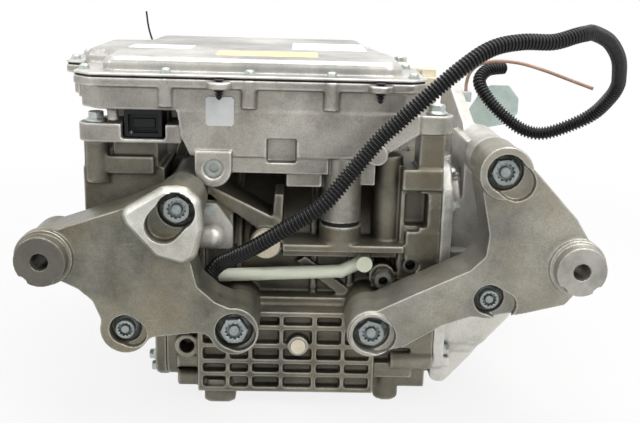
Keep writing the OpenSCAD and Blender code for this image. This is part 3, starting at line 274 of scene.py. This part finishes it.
def plated_steel(name, dark, light, rough=0.34, metallic=0.85, reach=0.004, grime_and_shade_share=0.2):
    """Plated or bare metal, slightly blotched and scuffed, with soiling and painted shade in its recesses."""
    shader = Shader(name)
    clouds = shader.noise(90.0, 6.0, 0.65)
    colour = shader.ramp(clouds, (0.3, dark), (0.7, light))
    # Painted shade: recesses found by ambient occlusion are darkened towards a dark tone, partly real soiling
    # and partly painted shade.
    grime_and_shade_mask = shader.ramp(shader.crevice(reach), (0.2, 1.0), (0.7, 0.0))
    colour = shader.mix("MIX", shader.math("MULTIPLY", grime_and_shade_mask, grime_and_shade_share), colour, srgb(40, 39, 35))
    marks = shader.scratches(0.9, 0.008, 0.0006)
    colour = shader.mix("MIX", shader.math("MULTIPLY", marks, 0.5), colour, srgb(226, 228, 226))
    shader.join(colour, shader.out.inputs["Base Color"])
    shader.join(shader.span(clouds, 0.3, 0.7, rough - 0.08, rough + 0.14), shader.out.inputs["Roughness"])
    shader.set(Metallic=metallic)
    shader.join(shader.bump(shader.noise(1400.0), 0.12, 0.0003), shader.out.inputs["Normal"])
    return shader.material


def moulded(name, dark, light, rough, grain_scale=1200.0, grain=0.12, through=0.0, gloss=0.5):
    """Moulded plastic, rubber or paper with a fine surface grain; through is the share of light let in."""
    shader = Shader(name)
    clouds = shader.noise(45.0, 5.0, 0.6)
    colour = shader.ramp(clouds, (0.3, dark), (0.7, light))
    shader.join(colour, shader.out.inputs["Base Color"])
    shader.join(shader.span(clouds, 0.3, 0.7, rough - 0.06, rough + 0.1), shader.out.inputs["Roughness"])
    shader.set(Specular_IOR_Level=gloss)
    if through:
        shader.set(Subsurface_Weight=through, Subsurface_Radius=(0.006, 0.008, 0.005))
    shader.join(shader.bump(shader.noise(grain_scale), grain, 0.0003), shader.out.inputs["Normal"])
    return shader.material


# The bracket bosses' machined faces and axes, and the left bracket's proud pad
BOSS_FACE = -0.2294
BOSS_X = 0.258
BOSS_Z = 0.184
PAD_FOOT = -0.2125
PAD_TOP = -0.2170
PAD_LEFT = -0.2

# Painted shade: the left bracket is a darker copy of the right bracket's casting, its turned boss face too,
# with a painted highlight on its pad.
SHADED_LEFT_BRACKET = cast_metal(
    "shaded_left_bracket_casting", dark=srgb(90, 89, 79), light=srgb(150, 148, 136), wear_and_highlight_tone=srgb(234, 233, 226),
    grime_and_shade=srgb(56, 54, 47), reach=0.012, rough=0.36, metallic=0.6, wear_and_highlight_share=0.5, grime_and_shade_share=0.2,
    turned=(BOSS_FACE, srgb(102, 100, 92), (-BOSS_X, BOSS_Z)),
    raised=(PAD_FOOT, PAD_TOP, PAD_LEFT, srgb(226, 226, 218)), soil=srgb(138, 127, 102))
RIGHT_BRACKET = cast_metal(
    "right_bracket_casting", dark=srgb(128, 126, 116), light=srgb(178, 176, 166), wear_and_highlight_tone=srgb(238, 236, 229),
    grime_and_shade=srgb(62, 59, 52), reach=0.012, rough=0.36, metallic=0.6, wear_and_highlight_share=0.5, grime_and_shade_share=0.2,
    turned=(BOSS_FACE, srgb(178, 176, 168), (BOSS_X, BOSS_Z)), soil=srgb(162, 153, 130))
HOUSING = cast_metal(
    "motor_casting", dark=srgb(112, 109, 97), light=srgb(152, 148, 134), wear_and_highlight_tone=srgb(208, 204, 192),
    grime_and_shade=srgb(38, 36, 30), reach=0.026, rough=0.46, metallic=0.65, wear_and_highlight_share=0.7, grime_and_shade_share=0.6,
    soil=srgb(116, 103, 77))
INVERTER = cast_metal(
    "inverter_casting", dark=srgb(156, 152, 143), light=srgb(190, 187, 179), wear_and_highlight_tone=srgb(238, 236, 230),
    grime_and_shade=srgb(70, 66, 59), reach=0.014, rough=0.40, metallic=0.7, wear_and_highlight_share=0.75, grime_and_shade_share=0.55)
LID = cast_metal(
    "lid_casting", dark=srgb(184, 182, 176), light=srgb(206, 204, 198), wear_and_highlight_tone=srgb(238, 237, 232),
    grime_and_shade=srgb(110, 106, 98), reach=0.006, rough=0.38, metallic=0.6, wear_and_highlight_share=0.5, grime_and_shade_share=0.5)
PALE = cast_metal(
    "gear_case_casting", dark=srgb(212, 210, 201), light=srgb(234, 232, 225), wear_and_highlight_tone=srgb(244, 243, 238),
    grime_and_shade=srgb(92, 88, 79), reach=0.024, rough=0.42, metallic=0.55, wear_and_highlight_share=0.6, grime_and_shade_share=0.6)
ZINC = plated_steel("zinc_plate", srgb(168, 175, 171), srgb(210, 216, 212), 0.34, 0.7)
DULL_ZINC = plated_steel("dull_zinc_plate", srgb(124, 131, 130), srgb(166, 173, 172), 0.38, 0.7)
STEEL = plated_steel("ground_steel", srgb(150, 152, 154), srgb(186, 188, 190), 0.3)
OILED = plated_steel("oiled_steel", srgb(100, 100, 93), srgb(146, 146, 138), 0.42, 0.6,
                     reach=0.018, grime_and_shade_share=0.95)
GALVANISED = plated_steel("galvanised_sheet", srgb(176, 194, 186), srgb(206, 219, 213), 0.48, 0.35)
COPPER = plated_steel("bare_copper", srgb(166, 104, 66), srgb(206, 142, 98), 0.36)
BLACK = moulded("black_moulding", srgb(18, 20, 22), srgb(30, 32, 35), 0.40, gloss=0.3)
CONDUIT = moulded("conduit_plastic", srgb(10, 11, 12), srgb(20, 21, 23), 0.22, gloss=0.36)
RUBBER = moulded("black_rubber", srgb(16, 16, 16), srgb(30, 29, 28), 0.62, gloss=0.3)
CREAM = moulded("cream_moulding", srgb(216, 204, 178), srgb(238, 230, 210), 0.46)
NYLON = moulded("clear_nylon", srgb(226, 233, 210), srgb(240, 244, 228), 0.28, 400.0, 0.05, through=0.3)
PAPER = moulded("bare_label", srgb(202, 205, 204), srgb(220, 223, 222), 0.6, gloss=0.3)
AMBER = moulded("amber_label", srgb(212, 184, 134), srgb(228, 206, 166), 0.5)
BROWN = moulded("brown_insulation", srgb(146, 114, 97), srgb(172, 140, 121), 0.45, 3000.0, 0.04)
BOARD = moulded("green_board", srgb(30, 74, 48), srgb(42, 92, 62), 0.4)

# Finishes of single nodes, and of the other nodes by their material slot
LOOKS = {
    "motor_housing": HOUSING, "left_end_shield": HOUSING, "gear_case": PALE, "coolant_elbow": PALE,
    "inverter_housing": INVERTER, "inverter_lid": LID,
    "left_bracket": SHADED_LEFT_BRACKET, "right_bracket": RIGHT_BRACKET,
    "earth_plate": GALVANISED, "oil_pipe": NYLON, "hv_connector": CREAM, "core_plugs": CREAM,
    "control_board": BOARD, "dc_link_capacitor": BLACK, "vent_nipple": OILED, "drain_plug": OILED,
    "earth_lead": BROWN, "conduit": CONDUIT,
}
SLOT_LOOKS = {
    "cast_aluminium": HOUSING, "pale_aluminium": PALE, "rubber": RUBBER, "black_plastic": BLACK,
    "board_plastic": BOARD, "cream_plastic": CREAM, "pale_green_plastic": NYLON, "copper": COPPER,
    "brown_plastic": BROWN, "galvanised_sheet": GALVANISED, "zinc_steel": ZINC, "steel": STEEL,
}


def dress(piece, material):
    piece.data.materials.clear()
    piece.data.materials.append(material)


SLOT_OF = {row["node"]: row["material_slot"] for row in frame["record"]["subparts"]}
for node_name, node_object in NODES.items():
    dress(node_object, LOOKS.get(node_name, SLOT_LOOKS[SLOT_OF[node_name]]))

# Cast pieces get the soft edges and fillets of a casting: voxel size in millimetres and smoothing passes
CASTINGS = {
    "motor_housing": (1.5, 4), "left_end_shield": (1.5, 4), "gear_case": (1.5, 4),
    "inverter_housing": (1.3, 3), "inverter_lid": (1.3, 3),
    "left_bracket": (1.0, 6), "right_bracket": (1.0, 6),
}


def soften(node, voxel, passes):
    remesh = node.modifiers.new("casting", "REMESH")
    remesh.mode = "VOXEL"
    remesh.voxel_size = voxel * MM
    remesh.use_smooth_shade = True
    smooth = node.modifiers.new("fillets", "SMOOTH")
    smooth.factor = 0.5
    smooth.iterations = passes


for node_name, (voxel, passes) in CASTINGS.items():
    soften(NODES[node_name], voxel, passes)


# Swept cords

def smooth_route(route, step):
    """Points every step or so along a smooth curve through the route, in metres."""
    points = [Vector(p) * MM for p in route]
    ends = [2 * points[0] - points[1]] + points + [2 * points[-1] - points[-2]]
    curve = []
    for i in range(len(points) - 1):
        a, b, c, d = ends[i:i + 4]
        count = max(2, round((c - b).length / step))
        for k in range(count):
            t = k / count
            curve.append(0.5 * (2 * b + (c - a) * t + (2 * a - 5 * b + 4 * c - d) * t ** 2
                                + (3 * b - a - 3 * c + d) * t ** 3))
    curve.append(points[-1])
    return curve


def route_length(path):
    return sum((b - a).length for a, b in zip(path, path[1:]))


def even(path, step):
    """The same line with points an even step apart."""
    total = route_length(path)
    count = max(2, round(total / step))
    out, at, done = [path[0]], 0, 0.0
    for k in range(1, count):
        want = total * k / count
        while done + (path[at + 1] - path[at]).length < want:
            done += (path[at + 1] - path[at]).length
            at += 1
        span = (path[at + 1] - path[at]).length
        out.append(path[at].lerp(path[at + 1], (want - done) / span))
    out.append(path[-1])
    return out


def sweep(name, path, radii, sides):
    """A closed tube along the path with its own radius at each point."""
    mesh = bpy.data.meshes.new(name)
    made = bmesh.new()
    side = None
    rings = []
    for i, point in enumerate(path):
        along = (path[min(i + 1, len(path) - 1)] - path[max(i - 1, 0)]).normalized()
        side = side or along.orthogonal()
        side = (side - along * side.dot(along)).normalized()
        across = along.cross(side)
        ring = []
        for k in range(sides):
            turn = 2 * math.pi * k / sides
            spoke = side * math.cos(turn) + across * math.sin(turn)
            ring.append(made.verts.new(point + radii[i] * spoke))
        rings.append(ring)
    for low, high in zip(rings, rings[1:]):
        for k in range(sides):
            made.faces.new((low[k], low[(k + 1) % sides], high[(k + 1) % sides], high[k]))
    made.faces.new(reversed(rings[0]))
    made.faces.new(rings[-1])
    bmesh.ops.recalc_face_normals(made, faces=made.faces[:])
    made.to_mesh(mesh)
    made.free()
    for face in mesh.polygons:
        face.use_smooth = len(face.vertices) == 4
    piece = bpy.data.objects.new(name, mesh)
    bpy.context.scene.collection.objects.link(piece)
    return piece


def lay_cord(name, node, route, radii_of, step, sides, material):
    """A free cord along the route, bare at its far end, in place of the node's plain tube."""
    path = even(smooth_route(route, step), step)
    piece = sweep(name, path, radii_of(path), sides)
    dress(piece, material)
    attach(piece, "housing")
    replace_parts(piece, node)


CORRUGATION = 3.9 * MM
CORRUGATION_STEPS = 8
CORRUGATION_DEPTH = 2.1 * MM
WIRE_STEP = 2 * MM


def corrugated(path):
    """Rounded ribs with narrow valleys, one every corrugation."""
    valley = CONDUIT_D / 2 - CORRUGATION_DEPTH
    radii = []
    for i in range(len(path)):
        wave = math.cos(2 * math.pi * i / CORRUGATION_STEPS)
        radii.append(valley + CORRUGATION_DEPTH * min(1.0, max(0.0, 0.5 + 0.95 * wave)))
    return radii


def plain_wire(diameter):
    """The same radius at every point of a path."""
    return lambda path: [diameter / 2] * len(path)


lay_cord("conduit_tube", "conduit", CONDUIT_ROUTE, corrugated,
         step=CORRUGATION / CORRUGATION_STEPS, sides=28, material=CONDUIT)
lay_cord("earth_wire", "earth_lead", EARTH_ROUTE, plain_wire(EARTH_D),
         step=WIRE_STEP, sides=16, material=BROWN)
lay_cord("sensor_wire", "sensor_lead", SENSOR_ROUTE, plain_wire(SENSOR_D),
         step=WIRE_STEP, sides=12, material=BLACK)


# Turned pieces: bolts, screws and push clips

def solids(node):
    """The lowest and highest corner of each separate solid in a node."""
    mesh = NODES[node].data
    keys = [tuple(round(c, 5) for c in v.co) for v in mesh.vertices]
    root = {key: key for key in keys}

    def find(key):
        while root[key] != key:
            root[key] = root[root[key]]
            key = root[key]
        return key

    for edge in mesh.edges:
        root[find(keys[edge.vertices[0]])] = find(keys[edge.vertices[1]])
    groups = {}
    for key in root:
        groups.setdefault(find(key), []).append(key)
    boxes = []
    for group in groups.values():
        boxes.append((Vector(min(k[i] for k in group) for i in range(3)),
                      Vector(max(k[i] for k in group) for i in range(3))))
    return sorted(boxes, key=lambda b: tuple(b[0]))


# Points round a piece, the angle from which an edge is sharp, the turn in radians from one bolt to the next,
# and the flange radius from which a bracket bolt has a hexagon
ROUND_STEPS = 96
SHARP_ANGLE = math.radians(32.0)
BOLT_TWIST = 0.7
HEXAGON_FROM = 15.0 * MM


def hexagon(across):
    """Radius of a hexagon, by the turn."""
    return lambda turn: across / 2 / math.cos((turn % (math.pi / 3)) - math.pi / 6)


def lobes(mean, depth, count):
    """Radius of a socket with that many splines, by the turn."""
    return lambda turn: mean + depth * math.cos(count * turn)


def add_rings(made, rings, base, along, twist):
    """Joins rings of (height, radius or radius by the turn) into one closed solid on base."""
    side = along.orthogonal().normalized()
    across = along.cross(side)
    loops = []
    for height, radius in rings:
        loop = []
        for k in range(ROUND_STEPS):
            turn = 2 * math.pi * k / ROUND_STEPS
            reach = radius(turn) if callable(radius) else radius
            spot = side * math.cos(turn + twist) + across * math.sin(turn + twist)
            loop.append(made.verts.new(base + along * height + spot * reach))
        loops.append(loop)
    for low, high in zip(loops, loops[1:]):
        for k in range(ROUND_STEPS):
            after = (k + 1) % ROUND_STEPS
            made.faces.new((low[k], low[after], high[after], high[k]))
    made.faces.new(loops[0])
    made.faces.new(loops[-1])


def finished_piece(name, made, material):
    """Turns a bmesh into a piece on the housing, with sharp edges kept."""
    bmesh.ops.recalc_face_normals(made, faces=made.faces[:])
    mesh = bpy.data.meshes.new(name)
    made.to_mesh(mesh)
    made.free()
    mesh.polygons.foreach_set("use_smooth", [True] * len(mesh.polygons))
    mesh.set_sharp_from_angle(angle=SHARP_ANGLE)
    piece = bpy.data.objects.new(name, mesh)
    bpy.context.scene.collection.objects.link(piece)
    dress(piece, material)
    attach(piece, "housing")
    return piece


def threaded(length, radius, pitch):
    """Rings of a screw shank with its thread crests."""
    rings = [(-length, radius * 0.72)]
    turns = int((length - pitch) / pitch)
    for k in range(turns):
        low = -length + pitch * (k + 0.5)
        rings += [(low, radius * 0.86), (low + pitch * 0.5, radius)]
    return rings


def flange_bolt(length, shank, flange, across, head, socket, splines):
    """Flange bolt with a hexagon, or a round head for across 0, and a splined socket with a centre pin."""
    six = hexagon(across) if across else (lambda turn: flange * 0.70)
    crown = across * 0.475 if across else flange * 0.64
    rings = threaded(length, shank, max(1.5 * MM, shank * 0.3))
    rings += [(0.0, shank), (0.0, flange - 0.4 * MM), (0.4 * MM, flange), (1.3 * MM, flange)]
    rings += [(2.0 * MM, flange - 0.5 * MM), (3.4 * MM, lambda turn: six(turn) + 0.5 * MM), (3.8 * MM, six)]
    rings += [(head - 1.3 * MM, six), (head - 0.3 * MM, lambda turn: min(six(turn), crown * 1.08))]
    rings += [(head, crown)]
    if socket:
        star = lobes(socket, socket * 0.10, splines)
        rings += [(head, lambda turn: star(turn) + 0.5 * MM), (head - 0.5 * MM, star)]
        rings += [(head - 5.0 * MM, star), (head - 5.0 * MM, socket * 0.70)]
        rings += [(head - 1.8 * MM, socket * 0.66), (head - 0.9 * MM, socket * 0.56)]
        rings += [(head - 0.5 * MM, socket * 0.3)]
    else:
        rings += [(head, across * 0.40), (head - 0.5 * MM, across * 0.36), (head - 0.5 * MM, across * 0.1)]
    return rings


def pan_screw(length, shank, head_r, head, socket):
    """Pan head screw with a six lobe socket, seat at height 0."""
    star = lobes(socket, socket * 0.14, 6)
    rings = threaded(length, shank, 1.0 * MM)
    rings += [(0.0, shank), (0.0, head_r * 1.2), (0.9 * MM, head_r * 1.2), (1.0 * MM, head_r * 0.98)]
    rings += [(head * 0.6, head_r * 0.97), (head * 0.84, head_r * 0.86), (head, head_r * 0.62)]
    rings += [(head, lambda turn: star(turn) + 0.2 * MM), (head - 0.3 * MM, star), (head - 2.0 * MM, star)]
    rings += [(head - 2.2 * MM, socket * 0.3)]
    return rings


def fit_turned(node, along, rings_of, material=ZINC):
    """Detailed turned pieces in place of a node's plain ones, seated by each solid's own box.

    Each solid is turned by BOLT_TWIST against the one before, so that the heads don't line up.
    """
    made = bmesh.new()
    axis = max(range(3), key=lambda i: abs(along[i]))
    cross = (axis + 1) % 3
    for number, (low, high) in enumerate(solids(node)):
        total = high[axis] - low[axis]
        wide = (high[cross] - low[cross]) / 2
        rings = rings_of(total, wide)
        top = max(height for height, radius in rings)
        base = (low + high) / 2
        base[axis] = high[axis] - top if along[axis] > 0 else low[axis] + top
        add_rings(made, rings, base, along, BOLT_TWIST * number)
    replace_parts(finished_piece(node + "_detailed", made, material), node)


def bracket_bolt(total, wide):
    """A hexagon on the large bolts, a round head on the small one of each bracket."""
    head = 12.5 * MM
    across = wide * 1.46 if wide > HEXAGON_FROM else 0.0
    return flange_bolt(total - head, wide * 0.5, wide, across, head, wide * 0.50, 12)


def ear_bolt(total, wide):
    head = 10.0 * MM
    return flange_bolt(total - head, wide * 0.45, wide, wide * 1.36, head, 0.0, 0)


def case_bolt(total, wide):
    head = 8.0 * MM
    return flange_bolt(total - head, wide * 0.43, wide, wide * 1.40, head, 0.0, 0)


def lid_screw(total, wide):
    head = 5.0 * MM
    return pan_screw(total - head, wide * 0.5, wide, head, wide * 0.42)


def fir_tree(total, wide):
    """A push clip: a flat cap, a shank through the flange and three barbs that shrink to a point."""
    cap, barb_gap, barbs = 1.4 * MM, 3.0 * MM, (1.0, 0.82, 0.62)
    rings = [(0.0, wide * 0.8), (0.3 * MM, wide * 0.96), (cap, wide * 0.96), (cap, wide * 0.64)]
    start = total - barb_gap * len(barbs) - 0.4 * MM
    for number, share in enumerate(barbs):
        top = start + barb_gap * number
        rings += [(top, wide * 0.42), (top, wide * share), (top + 0.5 * MM, wide * share)]
        rings += [(top + 2.4 * MM, wide * 0.38)]
    return rings + [(total, wide * 0.1)]


OUT_FRONT, OUT_TOP, OUT_DOWN = Vector((0, -1, 0)), Vector((0, 0, 1)), Vector((0, 0, -1))
OUT_LEFT, OUT_RIGHT = Vector((-1, 0, 0)), Vector((1, 0, 0))
fit_turned("left_bracket_bolts", OUT_FRONT, bracket_bolt, DULL_ZINC)
fit_turned("right_bracket_bolts", OUT_FRONT, bracket_bolt, DULL_ZINC)
fit_turned("inverter_bolts", OUT_TOP, ear_bolt)
fit_turned("harness_clips", OUT_DOWN, fir_tree, BLACK)
fit_turned("end_shield_bolts", OUT_LEFT, case_bolt)
fit_turned("gear_case_bolts", OUT_RIGHT, case_bolt)
fit_turned("lid_screws", OUT_TOP, lid_screw)

# Small moulded and turned pieces get broken edges, of a width in millimetres
BROKEN_EDGES = {
    "control_connector": 0.6, "hv_connector": 1.2, "earth_plate": 0.4, "vent_nipple": 0.5,
    "coolant_elbow": 1.0, "core_plugs": 0.6, "drain_plug": 0.5, "conduit_gland": 0.5,
    "earth_terminal": 0.6, "elbow_screw": 0.4, "left_output": 0.8, "right_output": 0.8, "lid_gasket": 0.3,
}
WELD_REACH = 0.00001
BEVEL_ANGLE = math.radians(40)
for node_name, width in BROKEN_EDGES.items():
    weld = NODES[node_name].modifiers.new("weld", "WELD")
    weld.merge_threshold = WELD_REACH
    bevel = NODES[node_name].modifiers.new("broken_edges", "BEVEL")
    bevel.width = width * MM
    bevel.segments = 2
    bevel.limit_method = "ANGLE"
    bevel.angle_limit = BEVEL_ANGLE
    bevel.harden_normals = True


def bare_plate(name, low, high, corner, axis, material):
    """A thin blank plate between two corners in millimetres, its corners rounded about the axis."""
    low, high = Vector(low) * MM, Vector(high) * MM
    made = bmesh.new()
    bmesh.ops.create_cube(made, size=1.0)
    for vert in made.verts:
        vert.co = Vector(low[i] + (vert.co[i] + 0.5) * (high[i] - low[i]) for i in range(3))
    upright = [e for e in made.edges if abs((e.verts[0].co - e.verts[1].co).normalized()[axis]) > 0.9]
    bmesh.ops.bevel(made, geom=upright, offset=corner * MM, segments=4, affect="EDGES")
    finished_piece(name, made, material)


# Bare plates in the places of the labels
bare_plate("connector_mark", (-187, -138.4, 292), (-183, -137.9, 296), 1.9, 1, PAPER)
bare_plate("front_label", (-109, -148.3, 304), (-81, -146.6, 333), 1.5, 1, PAPER)
LID_NODE = NODES["inverter_lid"]
LID_TOP = max((LID_NODE.matrix_world @ vertex.co).z for vertex in LID_NODE.data.vertices) / MM
LABEL_SUNK = 0.3
LABEL_PROUD = 0.25
LID_LABELS = {
    "lid_label_left": ((-206, -36), (-136, 14), PAPER),
    "lid_label_middle": ((-104, -104), (3, -42), AMBER),
    "lid_label_right": ((-25, -14), (60, 86), PAPER),
}
for label, (near, far, paper) in LID_LABELS.items():
    bare_plate(label, (*near, LID_TOP - LABEL_SUNK), (*far, LID_TOP + LABEL_PROUD), 2.0, 2, paper)


# Floor, light and camera

FLOOR_REACH = 6.0
FLOOR_NEAR_WHITE = 0.84


def direct_rays(tree):
    """1 for a ray from the camera, from glass or from gloss, and 0 for one that lights the object."""
    rays = tree.nodes.new("ShaderNodeLightPath")
    seen = rays.outputs["Is Camera Ray"]
    for kind in ("Is Transmission Ray", "Is Glossy Ray"):
        either = tree.nodes.new("ShaderNodeMath")
        either.operation = "MAXIMUM"
        tree.links.new(seen, either.inputs[0])
        tree.links.new(rays.outputs[kind], either.inputs[1])
        seen = either.outputs[0]
    return seen


def blend_into(tree, amount, first, second, target):
    """Shows the first shader, or the second one by the amount, on the target socket."""
    blend = tree.nodes.new("ShaderNodeMixShader")
    tree.links.new(amount, blend.inputs[0])
    tree.links.new(first, blend.inputs[1])
    tree.links.new(second, blend.inputs[2])
    tree.links.new(blend.outputs[0], target)


def white_floor():
    """A pale floor, plain white to the camera far out, with a share of the object's shadow close in."""
    mesh = bpy.data.meshes.new("floor")
    corners = [(-1, -1), (1, -1), (1, 1), (-1, 1)]
    mesh.from_pydata([(x * FLOOR_REACH, y * FLOOR_REACH, 0) for x, y in corners], [], [(0, 1, 2, 3)])
    floor = bpy.data.objects.new("floor", mesh)
    bpy.context.scene.collection.objects.link(floor)
    shader = Shader("pale_floor")
    shader.set(Base_Color=(0.62, 0.62, 0.61, 1.0), Roughness=0.9)
    glow = shader.node("ShaderNodeEmission")
    across, deep = shader.axis("X"), shader.axis("Y")
    far = shader.math("ADD", shader.math("MULTIPLY", across, across), shader.math("MULTIPLY", deep, deep))
    white = shader.span(far, 0.1, 1.6, FLOOR_NEAR_WHITE, 1.0)
    blend_into(shader.tree, shader.math("MULTIPLY", direct_rays(shader.tree), white), shader.out.outputs[0],
               glow.outputs[0], shader.tree.nodes["Material Output"].inputs["Surface"])
    dress(floor, shader.material)


def studio_world():
    """Soft light from above, and plain white where the camera sees the world."""
    world = bpy.data.worlds.new("studio")
    world.use_nodes = True
    tree = world.node_tree
    light = tree.nodes["Background"]
    height = tree.nodes.new("ShaderNodeSeparateXYZ")
    tree.links.new(tree.nodes.new("ShaderNodeTexCoord").outputs["Generated"], height.inputs[0])
    sky = tree.nodes.new("ShaderNodeValToRGB")
    for element, (at, level) in zip(sky.color_ramp.elements, ((0.0, 0.42), (0.55, 1.0))):
        element.position = at
        element.color = (level, level, level, 1.0)
    tree.links.new(height.outputs["Z"], sky.inputs["Fac"])
    tree.links.new(sky.outputs["Color"], light.inputs["Color"])
    light.inputs["Strength"].default_value = 0.7
    white = tree.nodes.new("ShaderNodeBackground")
    white.inputs["Color"].default_value = (1.0, 1.0, 1.0, 1.0)
    white.inputs["Strength"].default_value = 1.0
    blend_into(tree, direct_rays(tree), light.outputs[0], white.outputs[0],
               tree.nodes["World Output"].inputs["Surface"])
    bpy.context.scene.world = world


def soft_lamp(name, at, toward, size, watts):
    lamp = bpy.data.lights.new(name, "AREA")
    lamp.size = size
    lamp.energy = watts
    holder = bpy.data.objects.new(name, lamp)
    holder.location = at
    holder.rotation_euler = (Vector(toward) - Vector(at)).to_track_quat("-Z", "Y").to_euler()
    bpy.context.scene.collection.objects.link(holder)


def photo_camera():
    forward = Vector((math.sin(CAMERA_YAW) * math.cos(CAMERA_PITCH),
                      math.cos(CAMERA_YAW) * math.cos(CAMERA_PITCH), -math.sin(CAMERA_PITCH)))
    level = Vector((math.cos(CAMERA_YAW), -math.sin(CAMERA_YAW), 0))
    up = level.cross(forward)
    right = level * math.cos(CAMERA_ROLL) + up * math.sin(CAMERA_ROLL)
    top = -level * math.sin(CAMERA_ROLL) + up * math.cos(CAMERA_ROLL)
    lens = bpy.data.cameras.new("camera")
    lens.lens = CAMERA_LENS
    lens.sensor_width = SENSOR_WIDTH
    lens.sensor_fit = "HORIZONTAL"
    lens.clip_start = 0.05
    camera = bpy.data.objects.new("camera", lens)
    turned = Matrix((right, top, -forward)).transposed().to_4x4()
    camera.matrix_world = Matrix.Translation(CAMERA_AT) @ turned
    bpy.context.scene.collection.objects.link(camera)
    bpy.context.scene.camera = camera


white_floor()
studio_world()
soft_lamp("top_softbox", at=(0.05, 0.0, 1.6), toward=(0, 0, 0.3), size=1.3, watts=22.0)
soft_lamp("left_softbox", at=(-1.4, -0.6, 1.2), toward=(0, 0, 0.2), size=0.8, watts=4.0)
soft_lamp("right_softbox", at=(0.9, -1.0, 1.5), toward=(0.1, 0, 0.2), size=0.9, watts=12.0)
photo_camera()
bpy.context.scene.view_settings.view_transform = "Standard"
